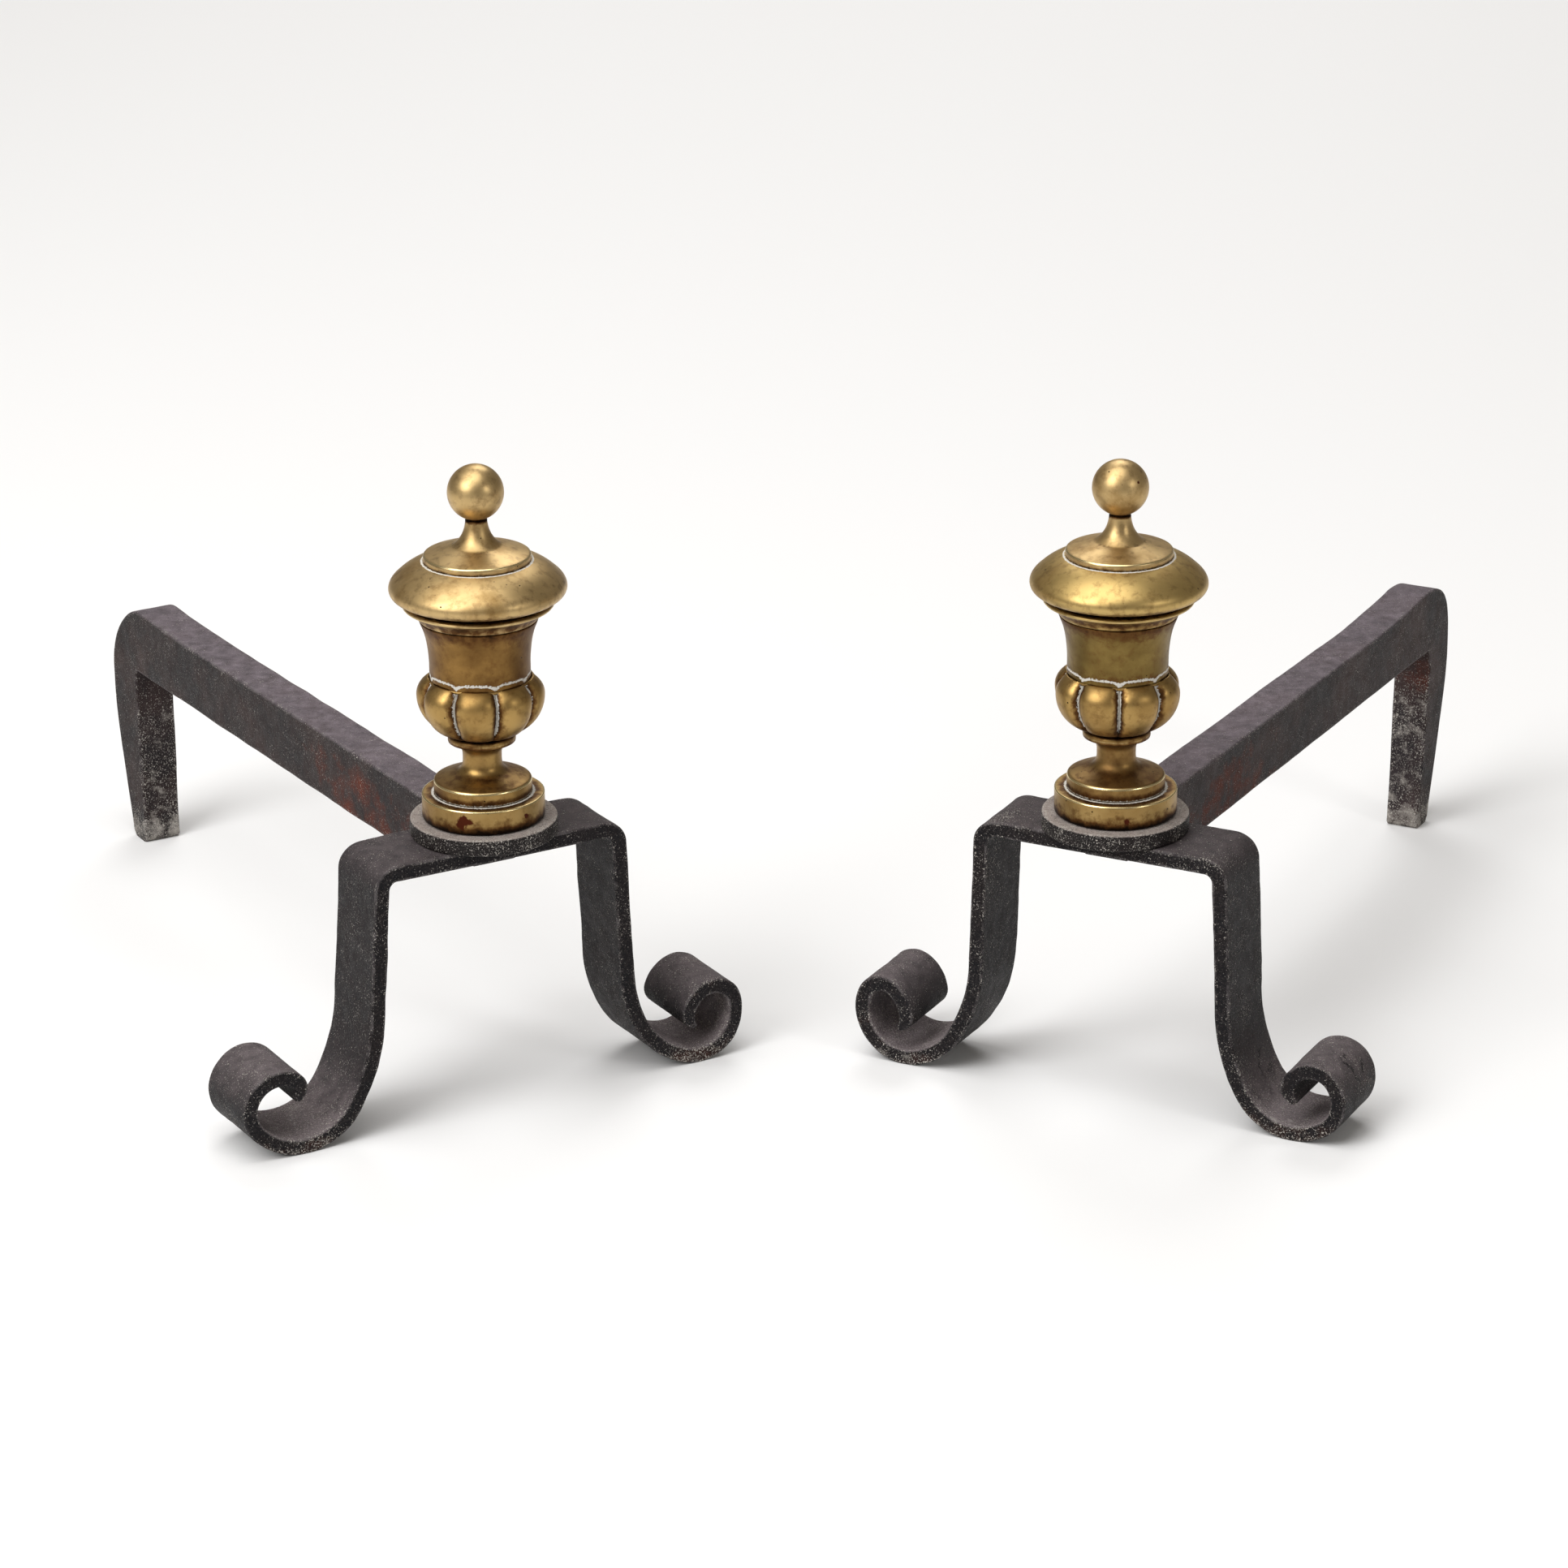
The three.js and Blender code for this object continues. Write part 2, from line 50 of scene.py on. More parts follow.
# Each andiron is built about its own urn axis: x along its leg strap, y back along its billet bar, z up, in mm.
stance = {
    "left": {"turnedOut": 29.4, "bowlTurn": -9.9},
    "right": {"turnedOut": -27.4, "bowlTurn": 26.0},
}
for side, values in stance.items():
    low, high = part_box(side + "_tie_rod")
    values["axis"] = [(low.x + high.x) / 2, (low.y + high.y) / 2]


def seatOf(nodeName):
    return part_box(nodeName)[0].z / mm


def toFrame(points, side):  # turns about the urn axis by turnedOut, then moves to it: mm to metres
    turned = math.radians(stance[side]["turnedOut"])
    x = points[..., 0] * math.cos(turned) - points[..., 1] * math.sin(turned)
    y = points[..., 0] * math.sin(turned) + points[..., 1] * math.cos(turned)
    axisX, axisY = stance[side]["axis"]
    return np.stack([x * mm + axisX, y * mm + axisY, points[..., 2] * mm], axis=-1)


def gridMesh(name, side, grid, closed, marks):
    # grid is rows x around x 3: rings that close on themselves. The rows close on the first one too, or else
    # each end ring is shut by a fan of triangles to its middle. marks are values of the same rows and columns.
    rows, around = grid.shape[:2]
    i = np.arange(rows if closed else rows - 1)[:, None]
    j = np.arange(around)[None, :]
    nextI, nextJ = (i + 1) % rows, (j + 1) % around
    quads = np.stack([i * around + j, i * around + nextJ, nextI * around + nextJ, nextI * around + j], axis=-1)
    faces = quads.reshape(-1, 4).tolist()
    points = grid.reshape(-1, 3)
    values = {key: np.broadcast_to(mark, (rows, around)).reshape(-1) for key, mark in marks.items()}
    if not closed:
        ends = grid[[0, -1]].mean(axis=1)
        points = np.concatenate([points, ends])
        values = {key: np.concatenate([v, v[:around].mean(keepdims=True), v[-around:].mean(keepdims=True)])
                  for key, v in values.items()}
        ring = np.arange(around)
        after = (ring + 1) % around
        first = np.stack([after, ring, np.full(around, rows * around)], axis=-1)
        last = np.stack([ring, after, np.full(around, rows * around + 1)], axis=-1)
        last[:, :2] += (rows - 1) * around
        faces += first.tolist() + last.tolist()
    # The faces turn outwards if the signed volume, a sixth of the sum of a . (b x c), is positive.
    a, b, c, d = (points[quads.reshape(-1, 4)[:, k]] for k in range(4))
    volume = (a * np.cross(b, c)).sum() + (a * np.cross(c, d)).sum()
    if volume < 0:
        faces = [face[::-1] for face in faces]
    mesh = bpy.data.meshes.new(name)
    mesh.from_pydata(toFrame(points, side).tolist(), [], faces)
    mesh.polygons.foreach_set("use_smooth", np.ones(len(mesh.polygons), bool))
    for key, v in values.items():
        mesh.attributes.new(key, "FLOAT", "POINT").data.foreach_set("value", v.astype(np.float32))
    mesh.update()
    piece = bpy.data.objects.new(name, mesh)
    bpy.context.scene.collection.objects.link(piece)
    return piece


def finishPiece(piece, side, nodeName, material):
    piece.data.materials.append(material)
    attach(piece, side + "_andiron")
    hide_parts(side + "_" + nodeName)


turning = {"around": 160, "spacing": 0.8, "curveSteps": 16}  # spacing: mm between the points of a profile


def curveThrough(start, control, end, steps):  # quadratic curve (1-t)^2 a + 2t(1-t) b + t^2 c
    t = np.linspace(0, 1, steps)[:, None]
    a, b, c = (np.array(p, float) for p in (start, control, end))
    return (1 - t) ** 2 * a + 2 * t * (1 - t) * b + t ** 2 * c


def drawn(moves):  # a line through [x, z] points; a row [cx, cz, x, z] is a curve with its control point first
    line = [np.array([moves[0]], float)]
    for move in moves[1:]:
        if len(move) == 2:
            line.append(np.array([move], float))
        else:
            line.append(curveThrough(line[-1][-1], move[:2], move[2:], turning["curveSteps"])[1:])
    return np.concatenate(line)


def lengthAlong(line):  # the distance from the start to each point: the running sum of the steps
    return np.concatenate([[0], np.cumsum(np.hypot(*np.diff(line, axis=0).T))])


def resampled(line, spacing):  # even steps along the line, with linear interpolation between its points
    along = lengthAlong(line)
    steps = np.linspace(0, along[-1], max(2, int(along[-1] / spacing) + 1))
    return np.stack([np.interp(steps, along, line[:, k]) for k in (0, 1)], axis=-1)


def softened(line, spacing, rounding):  # corners worn round: each point is the mean of a window along the line
    fineStep = spacing / 4
    fine = resampled(line, fineStep)
    reach = max(1, int(rounding / fineStep))
    padded = np.concatenate([np.repeat(fine[:1], reach, 0), fine, np.repeat(fine[-1:], reach, 0)])
    total = np.cumsum(np.concatenate([np.zeros((1, 2)), padded]), axis=0)
    return resampled((total[2 * reach + 1:] - total[:-2 * reach - 1]) / (2 * reach + 1), spacing)


def ringMark(profile, rings):  # rings [radius, height, width, strength]: strength exp(-(distance/width)^2)
    mark = np.zeros(len(profile))
    for radius, height, width, strength in rings:
        distance = np.hypot(profile[:, 0] - radius, profile[:, 1] - height)
        mark = np.maximum(mark, strength * np.exp(-((distance / width) ** 2)))
    return mark


def lobePlace(angle, side):  # -1 to 1 across each of the bowl's lobes, 0 at its middle
    share = (angle + math.pi / 2 - math.radians(stance[side]["bowlTurn"])) / (2 * math.pi) * lobedBowl["lobes"]
    return 2 * (share - np.floor(share)) - 1


def stained(settings, side, angle, radius, height):
    # Blots [side, degrees to the right of the front, height, width, strength]: exp(-(distance/width)^2).
    mark = 0 * (angle + height)
    for where, degrees, at, width, strength in settings.get("stains", []):
        toward = math.radians(degrees - 90 - stance[side]["turnedOut"])
        off = (angle - toward + math.pi) % (2 * math.pi) - math.pi
        blot = strength * np.exp(-(((off * radius) ** 2 + (height - at) ** 2) / width ** 2))
        mark = np.maximum(mark, blot * (where == side))
    return mark


def turnedPiece(name, side, nodeName, settings, material):
    # A surface of revolution: the point at profile step i and angle a is (r cos a, r sin a, seat + h).
    outside = softened(drawn(settings["outside"]), turning["spacing"], settings["rounding"])
    inside = np.array(settings["inside"], float).reshape(-1, 2)
    profile = np.concatenate([outside, inside])
    angle = np.linspace(0, 2 * math.pi, turning["around"], endpoint=False)
    radius, height = profile[:, 0][:, None], profile[:, 1][:, None]
    seat = seatOf(side + "_" + nodeName) + settings.get("seatRise", 0)
    grid = np.stack([radius * np.cos(angle), radius * np.sin(angle), seat + height + 0 * angle], axis=-1)
    marks = {key: ringMark(profile, settings.get(key, []))[:, None] for key in ("residue", "tarnishAndShade", "rubAndHighlight")}
    marks["lathe"] = lengthAlong(profile)[:, None]
    marks["stain"] = stained(settings, side, angle[None, :], radius, height)
    if "lobeLine" in settings:  # dried polish that follows the tops of the lobes, thicker at the grooves
        line = settings["lobeLine"]
        a = np.abs(lobePlace(angle, side))[None, :]
        thick = line["width"] * (1 + line["thickening"] * a ** 8)
        gap = (height - line["height"] + line["drop"] * a ** 5) / thick
        onSkirt = radius > line["minRadius"]
        marks["residue"] = np.maximum(marks["residue"], line["strength"] * np.exp(-(gap ** 2)) * onSkirt)
    piece = gridMesh(name, side, grid, settings["closed"], marks)
    finishPiece(piece, side, nodeName, material)
    return piece


def linear(text):  # sRGB hex to linear colour
    channels = np.array([int(text[k:k + 2], 16) for k in (1, 3, 5)]) / 255
    bright = ((channels + 0.055) / 1.055) ** 2.4
    return (*np.where(channels <= 0.04045, channels / 12.92, bright), 1.0)


def node(tree, kind, inputs=(), **settings):
    # Adds one node. An input is a value, a socket to link, or a node whose first output is linked.
    made = tree.nodes.new("ShaderNode" + kind)
    for key, value in settings.items():
        setattr(made, key, value)
    for key, value in inputs.items() if isinstance(inputs, dict) else enumerate(inputs):
        if isinstance(value, bpy.types.Node):
            value = value.outputs[0]
        if isinstance(value, bpy.types.NodeSocket):
            tree.links.new(value, made.inputs[key])
        else:
            made.inputs[key].default_value = value
    return made


def perMetre(sizeInMm):  # a texture's scale for features of this size
    return 1 / (sizeInMm * mm)


def newMaterial(name):
    material = bpy.data.materials.new(name)
    material.use_nodes = True
    material.node_tree.nodes.clear()
    return material, material.node_tree


# Sockets of the Mix node: its factor, its two values, its two colours, and the mixed colour.
mixFactor, valueA, valueB, colourA, colourB, mixedColour = 0, 2, 3, 6, 7, 2

brassLook = {
    "metal": "#c3a775",
    "deep": "#8f7040",
    "brown": "#5f4022",
    "black": "#22170f",
    "residue": "#cfccc4",
    "bright": "#e8d5a0",
    "stain": "#4e2416",
    "rough": 0.42,
    "patina": 0.5,
    # Noises: size in mm, detail, roughness.
    "patches": [26.0, 5, 0.6],
    "mottle": [5.0, 5, 0.65],
    "grain": [1.1, 3, 0.6],
    "turningStep": 0.45,  # mm between turning lines, really about 0.1 and drawn coarser so that they show
    "pitSpacing": 6.3,
    # Each layer's mask: where it begins, where it is full, and how strong it is there if less than 1.
    "mottled": [0.5, 0.72, 0, 0.55],
    "browned": [0.3, 0.75],
    "blackened": [0.72, 1.1],
    "blotted": [0.4, 0.7],
    "nearStain": [0.12, 0.3],
    "pitEdge": [0.09, 0.05],
    "fewPits": [0.6, 0.62],
    "rubbedAndHighlight": [0.2, 0.6],
    "chalky": [0.42, 0.62],
    # How far a noise tears the edge of a mark.
    "tarnishShadeTear": 1.3,
    "stainTear": 3.2,
    "residueTear": 1.5,
    "rubHighlightTear": -0.4,
    # The patina begins lower in its noise the stronger it is.
    "patinaFrom": 0.62,
    "patinaSpread": 0.3,
    "patinaFull": 0.72,
    "roughMask": [0.35, 0.7],
    "roughSpread": [-0.05, 0.09],
    "layerRough": [0.52, 0.24, 0.9],  # tarnish, painted shade and stains, rubbed edges with a painted highlight, dried polish
    "relief": [0.35, 0.5, -1.5, 3.0],  # turning lines, mottle, pits, crumbs of polish
    "bumpStrength": 0.35,
    "bumpMm": 0.12,
}


# Cast and turned brass, aged: satin gold, brown tarnish with painted shade in the recesses, dried white polish
# along the seams, rubbed bright edges that are partly a painted highlight, fine turning lines and small pits.
def agedBrass(name, changes):
    look = {**brassLook, **changes}
    material, tree = newMaterial(name)
    place = node(tree, "TexCoord").outputs["Object"]
    residue, tarnishAndShade, rubAndHighlight, lathe, stain = (
        node(tree, "Attribute", attribute_name=key).outputs["Fac"]
        for key in ("residue", "tarnishAndShade", "rubAndHighlight", "lathe", "stain")
    )
    patches, mottle, grain = (
        node(tree, "TexNoise", {"Vector": place, "Scale": perMetre(size), "Detail": detail, "Roughness": grit})
        for size, detail, grit in (look["patches"], look["mottle"], look["grain"])
    )
    turned = node(tree, "Math", [lathe, 1 / look["turningStep"]], operation="MULTIPLY")
    lines = node(tree, "TexNoise", {"W": turned, "Scale": 1.0, "Detail": 2.0}, noise_dimensions="1D")
    unevenMottle = node(tree, "Math", [mottle, 0.5], operation="SUBTRACT")
    unevenGrain = node(tree, "Math", [grain, 0.5], operation="SUBTRACT")
    # Satin gold, deeper where the patina is thick.
    patinaFrom = look["patinaFrom"] - look["patina"] * look["patinaSpread"]
    patina = node(tree, "MapRange", [patches, patinaFrom, look["patinaFull"]])
    mottled = node(tree, "MapRange", [mottle, *look["mottled"]])
    # Brown to black tarnish, partly painted shade in the recesses, under overhangs and where parts meet, ragged
    # at its edges.
    ragged = node(tree, "Math", [unevenMottle, look["tarnishShadeTear"], tarnishAndShade], operation="MULTIPLY_ADD")
    browned = node(tree, "MapRange", [ragged, *look["browned"]])
    blackened = node(tree, "MapRange", [ragged, *look["blackened"]])
    # Stains with a torn outline, only near their marks.
    torn = node(tree, "Math", [unevenMottle, look["stainTear"], stain], operation="MULTIPLY_ADD")
    blots = node(tree, "MapRange", [torn, *look["blotted"]])
    nearStain = node(tree, "MapRange", [stain, *look["nearStain"]])
    blotted = node(tree, "Math", [blots, nearStain], operation="MULTIPLY")
    # Small dark pits and nicks.
    pits = node(tree, "TexVoronoi", {"Vector": place, "Scale": perMetre(look["pitSpacing"]), "Randomness": 1.0})
    pitChance = node(tree, "SeparateColor", [pits.outputs["Color"]])
    fewPits = node(tree, "MapRange", [pitChance, *look["fewPits"]])
    pitHole = node(tree, "MapRange", [pits.outputs["Distance"], *look["pitEdge"]])
    pitted = node(tree, "Math", [pitHole, fewPits], operation="MULTIPLY")
    # Edges rubbed bright, partly worn metal and partly a painted highlight.
    wornAndHighlight = node(tree, "Math", [mottle, look["rubHighlightTear"], rubAndHighlight], operation="MULTIPLY_ADD")
    rubbedAndHighlight = node(tree, "MapRange", [wornAndHighlight, *look["rubbedAndHighlight"]])
    # Dried polish, crumbly and white.
    crumbled = node(tree, "Math", [unevenGrain, look["residueTear"], residue], operation="MULTIPLY_ADD")
    chalky = node(tree, "MapRange", [crumbled, *look["chalky"]])
    colour = linear(look["metal"])
    for mask, over in (
        (patina, "deep"), (mottled, "brown"), (browned, "brown"), (blackened, "black"), (blotted, "stain"),
        (pitted, "black"), (rubbedAndHighlight, "bright"), (chalky, "residue"),
    ):
        layers = {mixFactor: mask, colourA: colour, colourB: linear(look[over])}
        colour = node(tree, "Mix", layers, data_type="RGBA").outputs[mixedColour]
    roughRange = [look["rough"] + spread for spread in look["roughSpread"]]
    rough = node(tree, "MapRange", [patches, *look["roughMask"], *roughRange])
    darkened = node(tree, "Math", [browned, blotted], operation="MAXIMUM")
    for mask, over in zip((darkened, rubbedAndHighlight, chalky), look["layerRough"]):
        rough = node(tree, "Mix", {mixFactor: mask, valueA: rough, valueB: over}, data_type="FLOAT")
    metallic = node(tree, "Math", [1.0, chalky], operation="SUBTRACT")
    crumbs = node(tree, "Math", [chalky, grain], operation="MULTIPLY")
    height = 0.0
    for layer, share in zip((lines, mottle, pitted, crumbs), look["relief"]):
        height = node(tree, "Math", [layer, share, height], operation="MULTIPLY_ADD")
    raised = {"Strength": look["bumpStrength"], "Distance": look["bumpMm"] * mm, "Height": height}
    bump = node(tree, "Bump", raised)
    finish = {"Base Color": colour, "Roughness": rough, "Metallic": metallic, "Normal": bump}
    node(tree, "OutputMaterial", {"Surface": node(tree, "BsdfPrincipled", finish)})
    return material


ironLook = {
    "scale": "#0f0e12",
    "brown": "#241b19",
    "rust": "#63341f",
    "dustAndSheen": "#7b7173",
    "ash": "#c4beb6",
    "wornAndHighlight": "#6f6a6b",
    "speckle": "#443e3d",
    "crack": "#0b0a0a",
    "rough": 0.56,
    "browning": 0.5,
    "rusting": 0.5,
    "dustAndSheenAmount": 0.6,
    "flecks": 1.0,
    # Noises: size in mm, detail, roughness.
    "patches": [38.0, 5, 0.62],
    "mottle": [7.0, 6, 0.68],
    "grain": [1.3, 4, 0.65],
    "streaks": [16.0, 4, 0.7],
    "crumbs": [0.8, 3, 0.7],
    "cracks": [17.0, 6, 0.62],
    # Each layer's mask: where it begins, where it is full, and how strong it is there if less than 1.
    "browned": [0.42, 0.66],
    "lighter": [0.45, 0.75, 0, 0.35],
    "rusted": [0.4, 0.9],
    "settled": [0.35, 1.0],
    "speckled": [0.5, 0.65, 0, 0.5],
    "rubbedAndHighlight": [0.44, 0.62, 0, 0.5],
    "streaked": [0.4, 0.68],
    "flecked": [0.648, 0.7],
    "blotched": [0.62, 1.25, 0, 0.75],
    "crackEdge": [0.014, 0.005],
    "nearSplit": [0.3, 0.6],
    # How far a noise tears the edge of a mark.
    "rustTear": 1.6,
    "ashTear": 2.4,
    "grainInDust": 0.5,
    "fleckShares": [0.035, 0.13, 0.065],  # along edges, in ash, in streaks
    "roughMask": [0.35, 0.7],
    "roughSpread": [-0.08, 0.12],
    "powderRough": 0.85,
    "metallic": 0.3,  # of bare scale; what is powdery has none
    "specular": 0.2,
    "relief": [1.8, 1.6, 0.5, -4.0],  # mottle, grain, flecks, splits
    "bumpStrength": 1.0,
    "bumpMm": 0.5,
}


# Hand-forged wrought iron: near-black fire scale, brown and rust patches, grey dust with a painted sheen on
# what faces up, white ash flecks that gather along the worn edges, a painted highlight on those edges, and a
# lightly pitted, hammered skin.
def forgedIron(name, changes):
    look = {**ironLook, **changes}
    material, tree = newMaterial(name)
    place = node(tree, "TexCoord").outputs["Object"]
    edge, dustAndSheen, rust, ash, split = (
        node(tree, "Attribute", attribute_name=key).outputs["Fac"]
        for key in ("edge", "dustAndSheen", "rust", "ash", "split")
    )
    patches, mottle, grain, streaks, crumbs, cracks = (
        node(tree, "TexNoise", {"Vector": place, "Scale": perMetre(size), "Detail": detail, "Roughness": grit})
        for size, detail, grit in (
            look[key] for key in ("patches", "mottle", "grain", "streaks", "crumbs", "cracks"))
    )
    browned = node(tree, "MapRange", [patches, *look["browned"], 0, look["browning"]])
    lighter = node(tree, "MapRange", [mottle, *look["lighter"]])
    # Rust where the mark asks for it, in ragged patches.
    unevenStreaks = node(tree, "Math", [streaks, 0.5], operation="SUBTRACT")
    ragged = node(tree, "Math", [unevenStreaks, look["rustTear"], rust], operation="MULTIPLY_ADD")
    rusted = node(tree, "MapRange", [ragged, *look["rusted"], 0, look["rusting"]])
    # Grey dust on the faces that look up, partly a painted sheen that makes the tops lighter.
    hollows = node(tree, "Math", [grain, look["grainInDust"], mottle], operation="MULTIPLY_ADD")
    settled = node(tree, "MapRange", [hollows, *look["settled"]])
    lying = node(tree, "Math", [dustAndSheen, settled], operation="MULTIPLY")
    dustAndSheenMask = node(tree, "Math", [lying, look["dustAndSheenAmount"]], operation="MULTIPLY", use_clamp=True)
    # Edges worn to bare metal, partly a painted highlight along them, and specks all over.
    speckled = node(tree, "MapRange", [grain, *look["speckled"]])
    unevenEdge = node(tree, "Math", [edge, mottle], operation="MULTIPLY")
    rubbedAndHighlight = node(tree, "MapRange", [unevenEdge, *look["rubbedAndHighlight"]])
    # Ash and lime: flecks that thicken along the edges, and cloudy blotches where the mark asks for them.
    streaked = node(tree, "MapRange", [streaks, *look["streaked"]])
    wanted = crumbs
    for source, share in zip((edge, ash, streaked), look["fleckShares"]):
        wanted = node(tree, "Math", [source, share * look["flecks"], wanted], operation="MULTIPLY_ADD")
    flecked = node(tree, "MapRange", [wanted, *look["flecked"]])
    unevenMottle = node(tree, "Math", [mottle, 0.5], operation="SUBTRACT")
    cloudy = node(tree, "Math", [unevenMottle, look["ashTear"], ash], operation="MULTIPLY_ADD")
    blotched = node(tree, "MapRange", [cloudy, *look["blotched"]])
    # Short forging splits: contour lines of a noise, shown only where the mark asks for them.
    fromContour = node(tree, "Math", [cracks, 0.5], operation="SUBTRACT")
    contour = node(tree, "Math", [fromContour], operation="ABSOLUTE")
    crack = node(tree, "MapRange", [contour, *look["crackEdge"]])
    nearSplit = node(tree, "MapRange", [split, *look["nearSplit"]])
    opened = node(tree, "Math", [crack, nearSplit], operation="MULTIPLY")
    colour = linear(look["scale"])
    for mask, over in (
        (browned, "brown"), (lighter, "brown"), (rusted, "rust"), (dustAndSheenMask, "dustAndSheen"), (speckled, "speckle"),
        (rubbedAndHighlight, "wornAndHighlight"), (blotched, "ash"), (flecked, "ash"), (opened, "crack"),
    ):
        layers = {mixFactor: mask, colourA: colour, colourB: linear(look[over])}
        colour = node(tree, "Mix", layers, data_type="RGBA").outputs[mixedColour]
    powder = flecked
    for mask in (blotched, dustAndSheenMask, rusted):
        powder = node(tree, "Math", [powder, mask], operation="MAXIMUM")
    roughRange = [look["rough"] + spread for spread in look["roughSpread"]]
    rough = node(tree, "MapRange", [mottle, *look["roughMask"], *roughRange])
    powdery = {mixFactor: powder, valueA: rough, valueB: look["powderRough"]}
    rough = node(tree, "Mix", powdery, data_type="FLOAT")
    metallic = node(tree, "Mix", {mixFactor: powder, valueA: look["metallic"], valueB: 0.0}, data_type="FLOAT")
    height = 0.0
    for layer, share in zip((mottle, grain, flecked, opened), look["relief"]):
        height = node(tree, "Math", [layer, share, height], operation="MULTIPLY_ADD")
    raised = {"Strength": look["bumpStrength"], "Distance": look["bumpMm"] * mm, "Height": height}
    bump = node(tree, "Bump", raised)
    finish = {
        "Base Color": colour, "Roughness": rough, "Metallic": metallic,
        "Specular IOR Level": look["specular"], "Normal": bump,
    }
    node(tree, "OutputMaterial", {"Surface": node(tree, "BsdfPrincipled", finish)})
    return material


view = {
    "lensMm": 130.43,
    "sensorMm": 36.0,
    "back": [-20.55, -2719.18],  # mm, from the middle between the urns
    "height": 1204.35,
    "yaw": -0.2655,
    "down": 20.816,
    "roll": -0.345,
    "clipEnd": 60,
}


def addCamera():
    middle = np.mean([stance["left"]["axis"], stance["right"]["axis"]], axis=0)
    data = bpy.data.cameras.new("photoCamera")
    data.sensor_width = view["sensorMm"]
    data.lens = view["lensMm"]
    data.clip_end = view["clipEnd"]
    camera = bpy.data.objects.new("photoCamera", data)
    place = Vector((middle[0] + view["back"][0] * mm, middle[1] + view["back"][1] * mm, view["height"] * mm))
    turn = Matrix.Rotation(math.radians(view["yaw"]), 4, "Z")
    tilt = Matrix.Rotation(math.radians(90 - view["down"]), 4, "X")
    roll = Matrix.Rotation(math.radians(view["roll"]), 4, "Z")
    camera.matrix_world = Matrix.Translation(place) @ turn @ tilt @ roll
    bpy.context.scene.collection.objects.link(camera)
    bpy.context.scene.camera = camera


room = {
    "floorSize": 24.0,
    "floorColour": "#f4f4f4",
    "floorRough": 0.9,
    "sky": "#f4ece2",
    "skyStrength": 0.24,
    "lamps": [
        {"name": "topLight", "at": [-0.5, -0.55, 2.6], "size": 2.5, "power": 43.0, "aim": [0, -0.05, 0.12]},
        {"name": "keyLight", "at": [-2.3, -2.2, 2.6], "size": 2.5, "power": 88.0, "aim": [0, -0.05, 0.12]},
        {"name": "fillLight", "at": [2.6, -2.2, 1.7], "size": 0.9, "power": 15.0, "aim": [0, -0.05, 0.12]},
        {"name": "backLight", "at": [0.2, 3.2, 3.2], "size": 2.6, "power": 66.0, "aim": [0.2, 2.9, 0]},
    ],
}


def addRoom():
    half = room["floorSize"] / 2
    mesh = bpy.data.meshes.new("floor")
    corners = [(-half, -half, 0), (half, -half, 0), (half, half, 0), (-half, half, 0)]
    mesh.from_pydata(corners, [], [(0, 1, 2, 3)])
    floor = bpy.data.objects.new("floor", mesh)
    bpy.context.scene.collection.objects.link(floor)
    material, tree = newMaterial("matt white sweep")  # painted board: even, no sheen
    board = {"Base Color": linear(room["floorColour"]), "Roughness": room["floorRough"]}
    node(tree, "OutputMaterial", {"Surface": node(tree, "BsdfPrincipled", board)})
    mesh.materials.append(material)
    world = bpy.data.worlds.new("studio")
    world.use_nodes = True
    background = world.node_tree.nodes["Background"]
    background.inputs["Color"].default_value = linear(room["sky"])
    background.inputs["Strength"].default_value = room["skyStrength"]
    bpy.context.scene.world = world
    for lamp in room["lamps"]:
        data = bpy.data.lights.new(lamp["name"], "AREA")
        data.shape = "DISK"
        data.size = lamp["size"]
        data.energy = lamp["power"]
        light = bpy.data.objects.new(lamp["name"], data)
        light.location = lamp["at"]
        light.rotation_euler = (Vector(lamp["aim"]) - Vector(lamp["at"])).to_track_quat("-Z", "Y").to_euler()
        bpy.context.scene.collection.objects.link(light)
    bpy.context.scene.view_settings.view_transform = "Standard"


addCamera()
addRoom()
print("camera and room are set")


bore = 4.3  # mm: radius of the rod's hole through the urn

discSize = {
    "radius": 38,
    "thickness": 8.6,
    "rimWear": 1.6,  # mm over which the worn rim, partly a painted highlight, fades
    "rimShine": 0.75,
    "rimWidth": 1,
    "dustSheenFrom": 8.0,
    "dustSheenFade": 0.5,
    "dustSheenEdge": 0.5,
    "ashFrom": 8.2,
    "ash": 0.35,
}
collarDisc = {
    "slot": "disc_iron",
    "closed": True,
    "rounding": 1.1,
    "outside": [
        [14, 0], [discSize["radius"], 0],
        [discSize["radius"], discSize["thickness"]], [14, discSize["thickness"]],
    ],
    "inside": [[bore, discSize["thickness"]], [bore, 0]],
}
# The tarnish rings of these turned pieces are partly painted shade on the undersides, in the grooves and where
# parts meet; the rubbed rings on their edges are partly a painted highlight.
baseRing = {
    "slot": "plinth_brass",
    "closed": True,
    "rounding": 0.45,
    "outside": [[27.3, 0], [30.7, 0], [31.5, 0.8], [31.5, 13], [12, 13]],
    "inside": [[bore, 13], [bore, 8.8], [27.3, 8.8]],
    "rubAndHighlight": [[31.4, 12.9, 0.8, 1.0]],
    "tarnishAndShade": [[31.5, -1, 6.0, 1.3], [27, 13, 3.5, 0.8], [31.5, 6, 3.5, 0.45]],
    "residue": [[25.9, 13, 0.9, 0.95]],
    "stains": [["left", -15, 7.2, 4.6, 1.0], ["left", 46, 7.6, 1.5, 1.0], ["right", 8, 5, 2.4, 0.5]],
}
